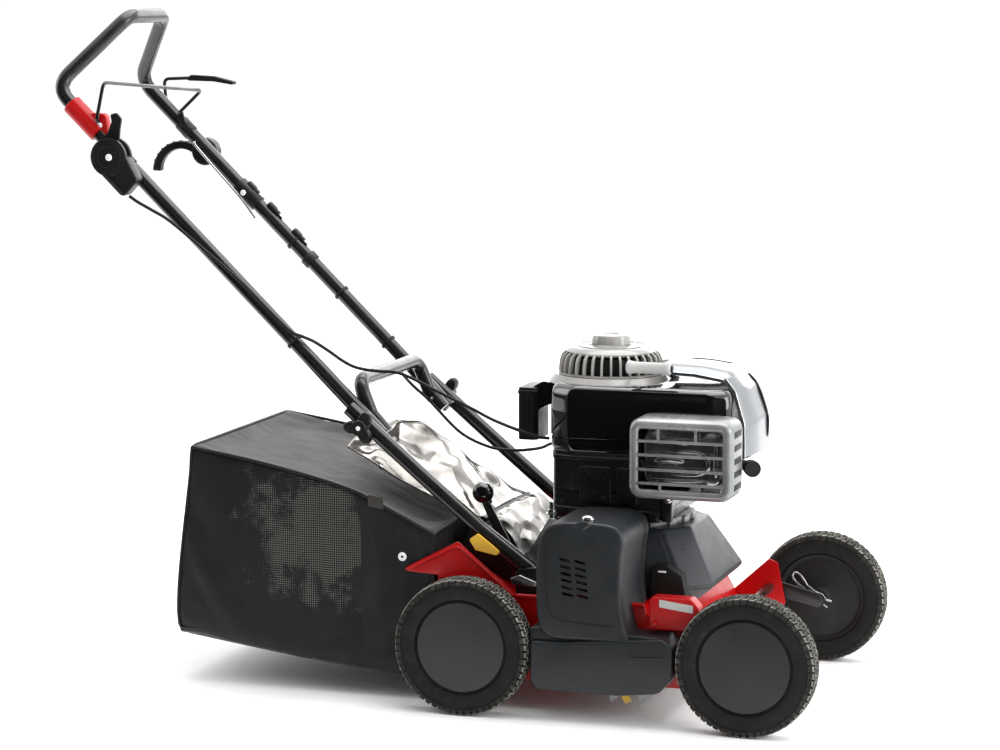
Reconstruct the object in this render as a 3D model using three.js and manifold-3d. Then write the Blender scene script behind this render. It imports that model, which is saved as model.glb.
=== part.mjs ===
// A walk-behind petrol lawn machine with a belt-driven cutting rotor, four wheels, a folding handle
// and a rear bag.
// Millimetres. +X is the front, +Y the left side, +Z up. X is measured from the rear axle inside the file,
// and the whole model is shifted at the end so that the origin is under the middle of its box.
import * as THREE from "three";
import { ConvexGeometry } from "three/addons/geometries/ConvexGeometry.js";
import { mergeVertices } from "three/addons/utils/BufferGeometryUtils.js";
import Module from "manifold-3d";

const wasm = await Module();
wasm.setup();

// ---- driving dimensions ----
const GAP = 0.4; // clearance between pieces that touch

const WHEEL_R = 100;
const WHEEL_SIDES = 32;
const WHEEL_WIDTH = 41;
const RIM_R = 67.6;
const WHEELBASE = 417;
const TRACK_HALF = 251;
const AXLE_R = 6;
const AXLE_Z = WHEEL_R;
const AXLE_END_Y = TRACK_HALF + 10;

const DECK_HALF = 198.5;
const SHEET = 3;
const PLATE_IN = DECK_HALF + 0.5;
const PLATE_OUT = PLATE_IN + SHEET;
const ROTOR = { x: 224, z: 86, tip: 62, shaft: 10, blades: 9, pitch: 41, firstY: -168, plate: 4 };
const CRANK = { x: 345, z: 118, r: 7 };
const BOX_FRONT = { x0: 269, x1: 342, y0: -229, z0: 137, z1: 184 };

const SHAFT_X = 150; // the engine's upright crankshaft
const JACK_Z = 205; // the cross shaft that drives the belt
const JACK_R = 8;
const BELT = { y0: -238, y1: -226, thick: 4, driveR: 26, rotorR: 30 };
const COVER_OUT = -262;
const COVER_WALL = 4;

const ENGINE_Z = 265.5;
const SHROUD_Z = 366;
const SHROUD_TOP = 462;
const DOME = { x: 146, z: 470.4, r: 78, wall: 3, slots: 18 };
const ROPE = { x: 205, z: 492, y: -97, r: 2 };

const RING = { x: 168, r: 106, inner: 60, teeth: 20, depth: 5 };

const TUBE_R = 11;
const UPPER_Y = 151.5;
const LEG_Y = UPPER_Y + 2 * TUBE_R + 0.5;
const BRACE_Y = UPPER_Y - 2 * TUBE_R - 0.5;
const FOLD = { x: -178, z: 400 };
const GRIP_BEND = { x: -681, z: 888 };
const GRIP_TOP = { x: -600, z: 992, y: 64.5 };
const WIRE_R = 2.8;

const THROTTLE = { x: -579, z: 786, r: 29, y0: -190, y1: -163 };
const BAIL = { x: -607, z: 837, nearY: -168, farY: 133 };
const CLUTCH = { x: -579, z: 774, r: 22, y0: 165, y1: 185 };
const DRIVE = { x: -645, z: 825, y: 168 };
const DEPTH = { x: 45, z: 185, y: -130, ball: 16 };

const FLAP_HALF = 110;
const FLAP_HINGE = { x: -17, z: 258, r: 5 };
const FLAP_THICK = 2.4;
const BAG_HALF = 196;
const CABLE_R = 2.4;

const ORIGIN_SHIFT_X = 82.66;

// ---- materials ----
const paint = (color, roughness, metalness = 0) =>
  new THREE.MeshStandardMaterial({ color, roughness, metalness });

const tyreRubber = paint(0x1b1b1b, 0.9);
const hubPlastic = paint(0x2d2c2d, 0.6);
const redPaint = paint(0xb90306, 0.3);
const greyPlastic = paint(0x34393e, 0.55);
const blackPlastic = paint(0x161618, 0.45);
const glossBlack = paint(0x0c0d12, 0.12);
const tubeBlack = paint(0x23221f, 0.35);
const brightSteel = paint(0xc9cacb, 0.25, 1);
const castMetal = paint(0x9b9ea0, 0.45, 1);
const silverPlastic = paint(0xd9dadb, 0.25, 0.2);
const darkSteel = paint(0x6d6f70, 0.4, 1);
const beltRubber = paint(0x121212, 0.85);
const bagFabric = paint(0x171717, 0.95);
const smokePlastic = paint(0x8c8d8e, 0.08);
const paleGrey = paint(0xa5a6a4, 0.5);

// ---- helpers ----
function solid(geometry) {
  const bare = geometry.index ? geometry.toNonIndexed() : geometry.clone();
  bare.deleteAttribute("normal");
  bare.deleteAttribute("uv");
  const merged = mergeVertices(bare, 1e-4);
  const triVerts = new Uint32Array(merged.index.array);
  const make = () =>
    new wasm.Manifold(
      new wasm.Mesh({ numProp: 3, vertProperties: merged.attributes.position.array, triVerts }),
    );
  const body = make();
  if (body.volume() > 0) return body;
  triVerts.reverse(); // a profile drawn the other way round has its faces turned outwards
  return make();
}

const joined = (first, ...rest) => rest.reduce((sum, piece) => sum.add(piece), first);
const cut = (first, ...rest) => rest.reduce((left, piece) => left.subtract(piece), first);

const model = new THREE.Group();

function add(name, body, material) {
  const flat = body.getMesh();
  const geometry = new THREE.BufferGeometry();
  geometry.setAttribute("position", new THREE.BufferAttribute(flat.vertProperties, 3));
  geometry.setIndex(new THREE.BufferAttribute(flat.triVerts, 1));
  geometry.computeVertexNormals();
  const mesh = new THREE.Mesh(geometry, material);
  mesh.name = name;
  model.add(mesh);
  return mesh;
}

function box(x0, x1, y0, y1, z0, z1) {
  const geometry = new THREE.BoxGeometry(x1 - x0, y1 - y0, z1 - z0);
  geometry.translate((x0 + x1) / 2, (y0 + y1) / 2, (z0 + z1) / 2);
  return solid(geometry);
}

// A round bar between two points, with a flat of its section facing down when it lies level.
function bar(from, to, radius, sides = 16) {
  const a = new THREE.Vector3(...from);
  const b = new THREE.Vector3(...to);
  const geometry = new THREE.CylinderGeometry(radius, radius, a.distanceTo(b), sides);
  geometry.rotateY(Math.PI / sides);
  const turn = new THREE.Quaternion().setFromUnitVectors(
    new THREE.Vector3(0, 1, 0),
    b.clone().sub(a).normalize(),
  );
  geometry.applyQuaternion(turn);
  geometry.translate((a.x + b.x) / 2, (a.y + b.y) / 2, (a.z + b.z) / 2);
  return solid(geometry);
}

const barY = (x, z, y0, y1, radius, sides = 16) => bar([x, y0, z], [x, y1, z], radius, sides);

function outline(points) {
  return new THREE.Shape(points.map(([u, v]) => new THREE.Vector2(u, v)));
}

// A side outline of (x, z) points, made as thick as y0 to y1.
function prismY(points, y0, y1, bevel = 0) {
  const shape = points instanceof THREE.Shape ? points : outline(points);
  const geometry = new THREE.ExtrudeGeometry(shape, {
    depth: y1 - y0 - 2 * bevel,
    bevelEnabled: bevel > 0,
    bevelThickness: bevel,
    bevelSize: bevel,
    bevelOffset: -bevel,
    bevelSegments: 3,
    curveSegments: 5,
  });
  geometry.rotateX(Math.PI / 2);
  geometry.translate(0, y1 - bevel, 0);
  return solid(geometry);
}

// A plan outline of (x, y) points, made as tall as z0 to z1.
function prismZ(points, z0, z1, bevel = 0) {
  const shape = points instanceof THREE.Shape ? points : outline(points);
  const geometry = new THREE.ExtrudeGeometry(shape, {
    depth: z1 - z0 - 2 * bevel,
    bevelEnabled: bevel > 0,
    bevelThickness: bevel,
    bevelSize: bevel,
    bevelOffset: -bevel,
    bevelSegments: 3,
    curveSegments: 5,
  });
  geometry.translate(0, 0, z0 + bevel);
  return solid(geometry);
}

// A front outline of (y, z) points, made as long as x0 to x1.
function prismX(points, x0, x1) {
  const geometry = new THREE.ExtrudeGeometry(outline(points), { depth: x1 - x0, bevelEnabled: false });
  geometry.rotateX(Math.PI / 2);
  geometry.rotateZ(Math.PI / 2);
  geometry.translate(x0, 0, 0);
  return solid(geometry);
}

// A turned piece about an upright axis: profile points are (radius, height).
function turnedZ(profile, x, y, sides) {
  const geometry = new THREE.LatheGeometry(
    profile.map(([r, h]) => new THREE.Vector2(r, h)),
    sides,
  );
  geometry.rotateX(Math.PI / 2);
  geometry.translate(x, y, 0);
  return solid(geometry);
}

// A turned piece about a level cross axis: profile points are (radius, y).
// Half a side of turn puts a flat below.
function turnedY(profile, x, z, sides) {
  const geometry = new THREE.LatheGeometry(
    profile.map(([r, y]) => new THREE.Vector2(r, y)),
    sides,
  );
  geometry.rotateY(Math.PI / sides);
  geometry.translate(x, 0, z);
  return solid(geometry);
}

// A path through given points, so that a tube has a section exactly at each of them.
class PointPath extends THREE.Curve {
  constructor(points) {
    super();
    this.points = points;
  }
  getUtoTmapping(u) {
    return u;
  }
  getPoint(t) {
    const last = this.points.length - 1;
    const place = Math.min(Math.max(t, 0), 1) * last;
    const index = Math.min(Math.floor(place), last - 1);
    return this.points[index].clone().lerp(this.points[index + 1], place - index);
  }
  getTangent(t) {
    const last = this.points.length - 1;
    const index = Math.round(t * last);
    const here = this.points[index];
    const before = this.points[Math.max(index - 1, 0)];
    const after = this.points[Math.min(index + 1, last)];
    const along = new THREE.Vector3();
    if (index > 0) along.add(here.clone().sub(before).normalize());
    if (index < last) along.add(after.clone().sub(here).normalize());
    return along.normalize();
  }
}

// Corner points replaced by short bends of the given radius.
function bent(corners, radius, steps = 4) {
  const points = corners.map((corner) => new THREE.Vector3(...corner));
  const route = [points[0]];
  for (let i = 1; i < points.length - 1; i += 1) {
    const corner = points[i];
    const back = points[i - 1].clone().sub(corner);
    const ahead = points[i + 1].clone().sub(corner);
    const angle = back.angleTo(ahead);
    const wanted = radius / Math.tan(angle / 2);
    const reach = Math.min(wanted, back.length() * 0.45, ahead.length() * 0.45);
    const start = corner.clone().add(back.normalize().multiplyScalar(reach));
    const end = corner.clone().add(ahead.normalize().multiplyScalar(reach));
    const bend = new THREE.QuadraticBezierCurve3(start, corner, end);
    route.push(...bend.getPoints(steps));
  }
  route.push(points[points.length - 1]);
  return route;
}

function tube(route, radius, sides = 12) {
  const section = new THREE.Shape();
  for (let i = 0; i < sides; i += 1) {
    const angle = (2 * Math.PI * (i + 0.5)) / sides;
    section[i ? "lineTo" : "moveTo"](radius * Math.cos(angle), radius * Math.sin(angle));
  }
  section.closePath();
  const geometry = new THREE.ExtrudeGeometry(section, {
    steps: route.length - 1,
    extrudePath: new PointPath(route),
    curveSegments: 1,
    bevelEnabled: false,
  });
  return solid(geometry);
}

// A smooth cord through a few points, with a section about every `step` millimetres.
function cord(points, radius, step, sides = 8) {
  const curve = new THREE.CatmullRomCurve3(points.map((point) => new THREE.Vector3(...point)));
  const count = Math.max(2, Math.round(curve.getLength() / step));
  return tube(curve.getSpacedPoints(count), radius, sides);
}

const mirrored = (points) => points.map(([x, y, z]) => [x, -y, z]).reverse();

// ---- wheels and axles ----
function wheel(place, x, side) {
  const y = side * TRACK_HALF;
  const half = WHEEL_WIDTH / 2;
  const crown = WHEEL_R / Math.cos(Math.PI / WHEEL_SIDES);
  const bore = RIM_R + 1;
  const tyre = [
    [bore, -half + 2], [crown - 8, -half], [crown, -half + 6],
    [crown, half - 6], [crown - 8, half], [bore, half - 2], [bore, -half + 2],
  ];
  add(`tyre_${place}`, turnedY(tyre.map(([r, h]) => [r, h + y]), x, AXLE_Z, WHEEL_SIDES), tyreRubber);

  // The rim is a drum, closed by the cap on its outer side, with a hub for the axle inside.
  const hub = AXLE_R + 7;
  const bearing = AXLE_R + 0.6;
  const rim = [
    [0, half], [RIM_R - 4, half], [RIM_R, half - 3], [RIM_R, -half + 3], [RIM_R - 4, -half + 3],
    [RIM_R - 5, half - 9], [hub, half - 7], [hub, -half + 1], [bearing, -half + 1],
    [bearing, half - 7], [0, half - 7],
  ];
  add(`rim_${place}`, turnedY(rim.map(([r, h]) => [r, side * h + y]), x, AXLE_Z, 20), hubPlastic);
}

wheel("front_right", WHEELBASE, -1);
wheel("front_left", WHEELBASE, 1);
wheel("rear_right", 0, -1);
wheel("rear_left", 0, 1);

const rearAxle = barY(0, AXLE_Z, -AXLE_END_Y, AXLE_END_Y, AXLE_R, 12);
add("rear_axle", rearAxle, brightSteel);

// The front axle is a crank: a cross bar that turns in the side plates, with the wheels on arms ahead of it.
const armOutline = [
  [CRANK.x - 10, CRANK.z - 4], [CRANK.x - 4, CRANK.z + 11], [CRANK.x + 6, CRANK.z + 12],
  [WHEELBASE + 6, AXLE_Z + 11], [WHEELBASE + 11, AXLE_Z], [WHEELBASE + 4, AXLE_Z - 10],
  [CRANK.x - 2, CRANK.z - 11],
];
const ARM_IN = PLATE_OUT + 2;
const ARM_OUT = ARM_IN + 7;
const clipHole = bar(
  [WHEELBASE - 20, ARM_OUT + 6, AXLE_Z + 15], [WHEELBASE + 20, ARM_OUT + 6, AXLE_Z - 15], 2.3, 8,
);
const frontAxle = cut(
  joined(
    barY(CRANK.x, CRANK.z, -ARM_OUT, ARM_OUT, CRANK.r),
    ...[-1, 1].flatMap((side) => [
      prismY(armOutline, Math.min(side * ARM_IN, side * ARM_OUT), Math.max(side * ARM_IN, side * ARM_OUT)),
      barY(WHEELBASE, AXLE_Z, side * (ARM_IN + 1), side * AXLE_END_Y, AXLE_R, 12),
    ]),
  ),
  clipHole,
);
add("front_axle", frontAxle, tubeBlack);

// The hairpin clip: a straight leg through the axle, and a bowed leg that hugs the axle's outside.
// Its points are given along the leg and away from it, from the middle of the axle.
const CLIP = { y: ARM_OUT + 6, r: 1.6, slope: Math.atan2(15, -20) };
const clipPoint = ([along, off]) => [
  WHEELBASE + along * Math.cos(CLIP.slope) + off * Math.sin(CLIP.slope),
  CLIP.y,
  AXLE_Z + along * Math.sin(CLIP.slope) - off * Math.cos(CLIP.slope),
];
const clipRoute = [
  [-19, 0], [44, 0], [54, 3], [54, 12], [44, 13], [26, 7], [10, 7], [0, 10.5], [-10, 8], [-18, 12],
].map(clipPoint);
add("axle_clip", tube(bent(clipRoute, 5, 2), CLIP.r, 6), brightSteel);

// ---- deck ----
const deckOutside = [
  [300, 50], [298, 100], [274, 142], [246, 158], [40, 158], [-30, 196], [-58, 203],
  [-58, 112], [130, 112], [152, 50],
];
const deckInside = [
  [297, 40], [295, 99], [271.5, 140], [244.8, 155], [41, 155], [-29, 193], [-70, 200],
  [-70, 115], [132, 115], [155.5, 40],
];
const rotorHole = barY(ROTOR.x, ROTOR.z, -220, 220, ROTOR.shaft + 4);
const deck = cut(
  prismY(deckOutside, -DECK_HALF, DECK_HALF),
  prismY(deckInside, -DECK_HALF + SHEET, DECK_HALF - SHEET),
  rotorHole,
);
add("deck", deck, redPaint);

const plateHoles = [
  rotorHole,
  barY(0, AXLE_Z, -220, 220, AXLE_R + 1, 12),
  barY(CRANK.x, CRANK.z, -220, 220, CRANK.r + 0.8),
];
const plateRear = [
  [60, 44], [-16, 78], [-22, 120], [-34, 184], [-60, 190], [-116, 193], [-26, 241], [62, 168],
];
const leftPlate = [...plateRear, [262, 166], [280, 105], [343, 163], [357, 158], [370, 95], [330, 48]];
const rightPlate = [...plateRear, [256, 166], [256, 134], [366, 134], [370, 95], [330, 48]];
add("side_plate_left", cut(prismY(leftPlate, PLATE_IN, PLATE_OUT), ...plateHoles), redPaint);
add("side_plate_right", cut(prismY(rightPlate, -PLATE_OUT, -PLATE_IN), ...plateHoles), redPaint);
add(
  "height_box",
  prismY(
    [
      [BOX_FRONT.x0, BOX_FRONT.z0], [BOX_FRONT.x0, BOX_FRONT.z1], [BOX_FRONT.x1 - 12, BOX_FRONT.z1],
      [BOX_FRONT.x1, BOX_FRONT.z1 - 14], [BOX_FRONT.x1, BOX_FRONT.z0],
    ],
    BOX_FRONT.y0,
    -PLATE_OUT - GAP,
    4,
  ),
  redPaint,
);

// The black chute cover stands on the rear of the deck and carries the flap.
const CHUTE_HALF = 116;
const chuteOutside = [[-57, 205], [-29, 198], [42, 159], [68, 159], [6, 246], [-14, 250], [-32, 248]];
const chuteInside = [[-51, 200], [-29, 180], [42, 150], [60, 159], [4, 242], [-14, 246], [-29, 244]];
const chute = cut(
  prismY(chuteOutside, -CHUTE_HALF, CHUTE_HALF),
  prismY(chuteInside, -CHUTE_HALF + SHEET, CHUTE_HALF - SHEET),
);
add("rear_chute_cover", chute, blackPlastic);

// ---- gear tower and mounting ring ----
// A rounded box section of the tower at one height.
function towerSection(rear, front, half, z, corner) {
  return [
    [front, -half + corner], [front, half - corner], [front - corner, half], [rear + corner, half],
    [rear, half - corner], [rear, -half + corner], [rear + corner, -half], [front - corner, -half],
  ].map(([x, y]) => new THREE.Vector3(x, y, z));
}

const hull = (...sections) => solid(new ConvexGeometry(sections.flat()));
const TOWER_TOP = 255;
const WAIST = 178;
const TOWER_WALL = 4;

function towerSolid(inset) {
  const upper = hull(
    towerSection(66 + inset, 284 - inset, 88 - inset, TOWER_TOP - inset, 34),
    towerSection(28 + inset, 328 - inset, 126 - inset, WAIST, 34),
  );
  const lower = hull(
    towerSection(28 + inset, 328 - inset, 126 - inset, WAIST, 34),
    towerSection(60 + inset, 272 - inset, 100 - inset, 128 - (inset ? 10 : 0), 30),
  );
  return upper.add(lower);
}

const deckBlock = prismY(
  [[302, 40], [298.6, 100.3], [274.6, 142.4], [246.3, 158.5], [20, 158.5], [20, 40]],
  -DECK_HALF - 1,
  DECK_HALF + 1,
);
const chuteBlock = prismY(
  [[-57, 150], [69, 150], [69, 158], [6.5, 247], [-57, 247]],
  -CHUTE_HALF - 1,
  CHUTE_HALF + 1,
);
const tower = cut(
  towerSolid(0),
  towerSolid(TOWER_WALL),
  deckBlock,
  chuteBlock,
  box(SHAFT_X - 20, SHAFT_X + 20, -20, 20, 240, 270),
  barY(SHAFT_X, JACK_Z, -150, 0, JACK_R + 2),
);
add("gear_tower", tower, greyPlastic);

const ringPoints = [];
for (let i = 0; i < RING.teeth; i += 1) {
  const tooth = [[0, RING.r], [0.45, RING.r], [0.55, RING.r - RING.depth], [0.9, RING.r - RING.depth]];
  for (const [part, radius] of tooth) {
    const angle = (2 * Math.PI * (i + part)) / RING.teeth;
    ringPoints.push([RING.x + radius * Math.cos(angle), radius * Math.sin(angle)]);
  }
}
const ring = cut(
  prismZ(ringPoints, TOWER_TOP + GAP, ENGINE_Z - GAP),
  turnedZ([[0, 240], [RING.inner, 240], [RING.inner, 280], [0, 280]], RING.x, 0, 24),
);
add("mounting_ring", ring, castMetal);

// ---- belt drive ----
// A mitre gear about +Z whose pitch cone's point is at the origin; it stays just inside that cone.
function bevelGear() {
  const teeth = 18;
  const section = (height, tip) => {
    const points = [];
    for (let i = 0; i < teeth * 2; i += 1) {
      const radius = i % 2 ? tip * 0.86 : tip;
      const angle = (Math.PI * (i + 0.5)) / teeth;
      points.push(new THREE.Vector3(radius * Math.cos(angle), radius * Math.sin(angle), height));
    }
    return points;
  };
  const sections = [section(13, 12), section(23, 22), section(27, 20)];
  const count = teeth * 2;
  const vertices = sections.flat();
  const triangles = [];
  for (let s = 0; s < sections.length - 1; s += 1) {
    for (let i = 0; i < count; i += 1) {
      const a = s * count + i;
      const b = s * count + ((i + 1) % count);
      triangles.push(a, b, b + count, a, b + count, a + count);
    }
  }
  const low = vertices.push(new THREE.Vector3(0, 0, 13)) - 1;
  const high = vertices.push(new THREE.Vector3(0, 0, 27)) - 1;
  for (let i = 0; i < count; i += 1) {
    const next = (i + 1) % count;
    const top = (sections.length - 1) * count;
    triangles.push(low, next, i, high, top + i, top + next);
  }
  const geometry = new THREE.BufferGeometry().setFromPoints(vertices);
  geometry.setIndex(triangles);
  return solid(geometry);
}

add(
  "engine_shaft",
  joined(
    bar([SHAFT_X, 0, JACK_Z + 14], [SHAFT_X, 0, ENGINE_Z + 30], 9),
    bevelGear().translate([SHAFT_X, 0, JACK_Z]),
  ),
  darkSteel,
);

// The cross shaft and its gear are one piece; the gear's cone faces the upright shaft's cone.
add(
  "cross_shaft",
  joined(
    barY(SHAFT_X, JACK_Z, -244, -14, JACK_R),
    bevelGear().rotate([90, 0, 0]).translate([SHAFT_X, 0, JACK_Z]),
  ),
  darkSteel,
);

function pulley(x, z, grooveR, boreR) {
  const flange = grooveR + 3;
  const { y0, y1 } = BELT;
  const profile = [
    [boreR, y0 - 3], [flange, y0 - 3], [flange, y0 - 1], [grooveR, y0 - 1], [grooveR, y1 + 1],
    [flange, y1 + 1], [flange, y1 + 3], [boreR, y1 + 3], [boreR, y0 - 3],
  ];
  return turnedY(profile, x, z, 20);
}

add("drive_pulley", pulley(SHAFT_X, JACK_Z, BELT.driveR, JACK_R + GAP), castMetal);
add("rotor_pulley", pulley(ROTOR.x, ROTOR.z, BELT.rotorR, ROTOR.shaft + GAP), castMetal);

function beltHull(extra, y0, y1) {
  const points = [];
  for (const [x, z, r] of [[SHAFT_X, JACK_Z, BELT.driveR], [ROTOR.x, ROTOR.z, BELT.rotorR]]) {
    for (let i = 0; i < 24; i += 1) {
      const angle = (Math.PI * i) / 12;
      for (const y of [y0, y1]) {
        const reach = r + extra;
        points.push(new THREE.Vector3(x + reach * Math.cos(angle), y, z + reach * Math.sin(angle)));
      }
    }
  }
  return solid(new ConvexGeometry(points));
}

const beltOutside = beltHull(BELT.thick + 0.6, BELT.y0, BELT.y1);
const beltInside = beltHull(0.6, BELT.y0 - 1, BELT.y1 + 1);
add("drive_belt", cut(beltOutside, beltInside), beltRubber);

add("rotor_shaft", barY(ROTOR.x, ROTOR.z, -244, 212, ROTOR.shaft, 12), darkSteel);

// The knives: hooked plates on a spacer sleeve, each turned a little from the last.
function knife(turn) {
  const points = [];
  for (let i = 0; i < 4; i += 1) {
    const start = turn + (Math.PI * i) / 2;
    for (const [angle, radius] of [[0, 22], [0.08, ROTOR.tip], [0.16, ROTOR.tip], [0.75, 26]]) {
      points.push([
        ROTOR.x + radius * Math.cos(start + angle),
        ROTOR.z + radius * Math.sin(start + angle),
      ]);
    }
  }
  return points;
}

const knives = [];
for (let i = 0; i < ROTOR.blades; i += 1) {
  const y = ROTOR.firstY + i * ROTOR.pitch;
  knives.push(prismY(knife(i * 0.42 + 0.1), y, y + ROTOR.plate));
}
const sleeve = barY(ROTOR.x, ROTOR.z, -192, 192, ROTOR.shaft + 6, 12);
const sleeveBore = barY(ROTOR.x, ROTOR.z, -200, 200, ROTOR.shaft + GAP, 12);
add("rotor_knives", cut(joined(sleeve, ...knives), sleeveBore), darkSteel);

// ---- belt cover ----
// The bell hides the belt's upper run, and the skirt below it hides the rotor pulley.
const bell = new THREE.Shape();
bell.moveTo(132, 112);
bell.bezierCurveTo(116, 120, 112, 140, 111, 170);
bell.bezierCurveTo(109, 230, 110, 262, 124, 279);
bell.bezierCurveTo(134, 291, 160, 290.5, 190, 290.5);
bell.bezierCurveTo(226, 290.5, 238, 288, 240, 262);
bell.bezierCurveTo(236, 230, 232, 170, 256, 112);
bell.closePath();
const bellInside = new THREE.Shape();
bellInside.moveTo(122, 90);
bellInside.bezierCurveTo(116, 130, 114, 262, 128, 276);
bellInside.bezierCurveTo(138, 286, 160, 285.5, 190, 285.5);
bellInside.bezierCurveTo(222, 285.5, 233, 284, 235, 262);
bellInside.bezierCurveTo(231, 230, 227, 160, 252, 90);
bellInside.closePath();
const skirt = [
  [103, 116], [103, 60], [112, 47], [232, 45], [292, 52], [313, 76], [313, 118], [298, 131], [266, 128],
  [150, 117],
];
const skirtInside = [
  [107, 112], [107, 62], [114, 51], [231, 49], [290, 56], [309, 78], [309, 116], [296, 127], [266, 124],
  [150, 113],
];
const BELL_BACK = -108;
const COVER_SCREW = { x: 181, y: -236, under: 290.9 };
const coverBack = -PLATE_OUT - GAP;
const towerKeepOut = towerSolid(-0.6);
const VENT = { x: 146, z: 235.5, long: 16.5, half: 2, rows: 6, pitch: 9.8, acrossPitch: 22, drift: 0.9 };
const vents = [];
for (let row = 0; row < VENT.rows; row += 1) {
  for (let column = 0; column < 2; column += 1) {
    const x = VENT.x + column * VENT.acrossPitch + row * VENT.drift;
    const z = VENT.z - row * VENT.pitch - column * 1.5;
    vents.push(box(x, x + VENT.long, COVER_OUT - 5, COVER_OUT + 10, z - VENT.half, z + VENT.half));
  }
}
const cover = cut(
  joined(prismY(bell, COVER_OUT, BELL_BACK + 14, 14), prismY(skirt, COVER_OUT - 3, coverBack, 3)),
  prismY(bellInside, COVER_OUT + COVER_WALL, BELL_BACK + 40, 10),
  prismY(skirtInside, COVER_OUT + COVER_WALL - 3, coverBack + 10),
  box(90, 340, coverBack, BELL_BACK + 40, 30, 168.6),
  box(90, 340, BELL_BACK, BELL_BACK + 40, 160, 320),
  towerKeepOut,
  ...vents,
  bar([COVER_SCREW.x, COVER_SCREW.y, 270], [COVER_SCREW.x, COVER_SCREW.y, 310], 4.6, 12),
);
add("belt_cover", cover, greyPlastic);
const screwHead = COVER_SCREW.under;
add(
  "cover_screw",
  turnedZ(
    [
      [0, screwHead - 22], [4, screwHead - 22], [4, screwHead], [9, screwHead], [8, screwHead + 3.6],
      [4.5, screwHead + 6.1], [0, screwHead + 6.8],
    ],
    COVER_SCREW.x,
    COVER_SCREW.y,
    16,
  ),
  brightSteel,
);

// ---- engine ----
const blockPlan = [
  [74, -56], [86, -92], [120, -102], [292, -102], [306, -88], [306, 88], [292, 102], [120, 102],
  [86, 92], [74, 56],
];
const SUMP_FRONT = 256; // ahead of this the crankcase stands clear of the mounting ring
const SUMP_STEP_Z = 303;
const block = cut(
  prismZ(blockPlan, ENGINE_Z, SHROUD_Z - GAP),
  box(SUMP_FRONT, 320, -120, 120, ENGINE_Z - 5, SUMP_STEP_Z),
  bar([SHAFT_X, 0, ENGINE_Z - 1], [SHAFT_X, 0, ENGINE_Z + 32], 9.6),
);
add("engine_block", block, blackPlastic);

const shroudPlan = [
  [68, -40], [76, -78], [112, -104], [326, -104], [350, -84], [350, 84], [326, 104], [112, 104],
  [76, 78], [68, 40],
];
const COLLAR_R = 82;
const collar = [
  [0, SHROUD_TOP - 4], [COLLAR_R + 4, SHROUD_TOP - 4], [COLLAR_R, DOME.z - GAP], [0, DOME.z - GAP],
];
const shroud = cut(
  joined(
    prismZ(shroudPlan, SHROUD_Z, SHROUD_TOP, 5),
    turnedZ(collar, DOME.x, 0, 32),
  ),
  bar([212, 82, 440], [212, 82, 480], 13.6),
);
add("blower_housing", shroud, glossBlack);

const domeProfile = [
  [DOME.r - DOME.wall, DOME.z], [DOME.r, DOME.z], [DOME.r, DOME.z + 6], [DOME.r - 5, DOME.z + 26],
  [DOME.r - 20, DOME.z + 37], [40, DOME.z + 42], [28, DOME.z + 43], [28, DOME.z + 54], [24, DOME.z + 57],
  [0, DOME.z + 57], [0, DOME.z + 39], [40, DOME.z + 38], [DOME.r - 22, DOME.z + 33.5],
  [DOME.r - 8.5, DOME.z + 24], [DOME.r - DOME.wall, DOME.z],
];
const slots = [];
for (let i = 0; i < DOME.slots; i += 1) {
  const angle = (360 * (i + 0.5)) / DOME.slots;
  if (angle > 20 && angle < 340) {
    const slot = box(DOME.r - 14, DOME.r + 4, -3.2, 3.2, 8, 27);
    slots.push(slot.rotate([0, 0, angle]).translate([DOME.x, 0, DOME.z]));
  }
}
const dome = cut(
  turnedZ(domeProfile, DOME.x, 0, 24),
  ...slots,
  barY(ROPE.x, ROPE.z, -80, -20, ROPE.r + 2, 8),
);
add("recoil_cover", dome, blackPlastic);

// The pull handle, with the first stretch of its rope, which runs through an eye in the cover.
add(
  "recoil_handle",
  joined(
    bar([198, ROPE.y, ROPE.z], [263, ROPE.y, ROPE.z], 9.2),
    barY(ROPE.x, ROPE.z, ROPE.y + 4, 20, ROPE.r, 8),
  ),
  paleGrey,
);

const COWL_HALF = 72;
const cowlSide = [
  [238, 450], [238, 493], [292, 491], [338, 483], [356, 467], [370, 438], [378, 408], [379, 366],
  [330, 366], [330, 450],
];
const cowlFront = [[-66, 340], [-COWL_HALF, 440], [-48, 500], [48, 500], [COWL_HALF, 440], [66, 340]];
add(
  "engine_cowl",
  cut(
    prismY(cowlSide, -100, 100).intersect(prismX(cowlFront, 220, 400)),
    turnedZ(
      [[0, 450], [COLLAR_R + 6, 450], [COLLAR_R + 6, 471], [DOME.r + 2, 471], [DOME.r + 2, 540], [0, 540]],
      DOME.x, 0, 32,
    ),
    bar([196, ROPE.y, ROPE.z], [266, ROPE.y, ROPE.z], 11),
    prismZ(shroudPlan, SHROUD_Z - 1, SHROUD_TOP + GAP),
  ),
  silverPlastic,
);

const filterPlan = [[16, -32], [34, -32], [40, -26], [40, 26], [34, 32], [16, 32], [11, 26], [11, -26]];
add(
  "air_filter_box",
  joined(prismZ(filterPlan, 367, 446), box(30, 67.4, -24, 24, 400, 452)),
  blackPlastic,
);

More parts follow.
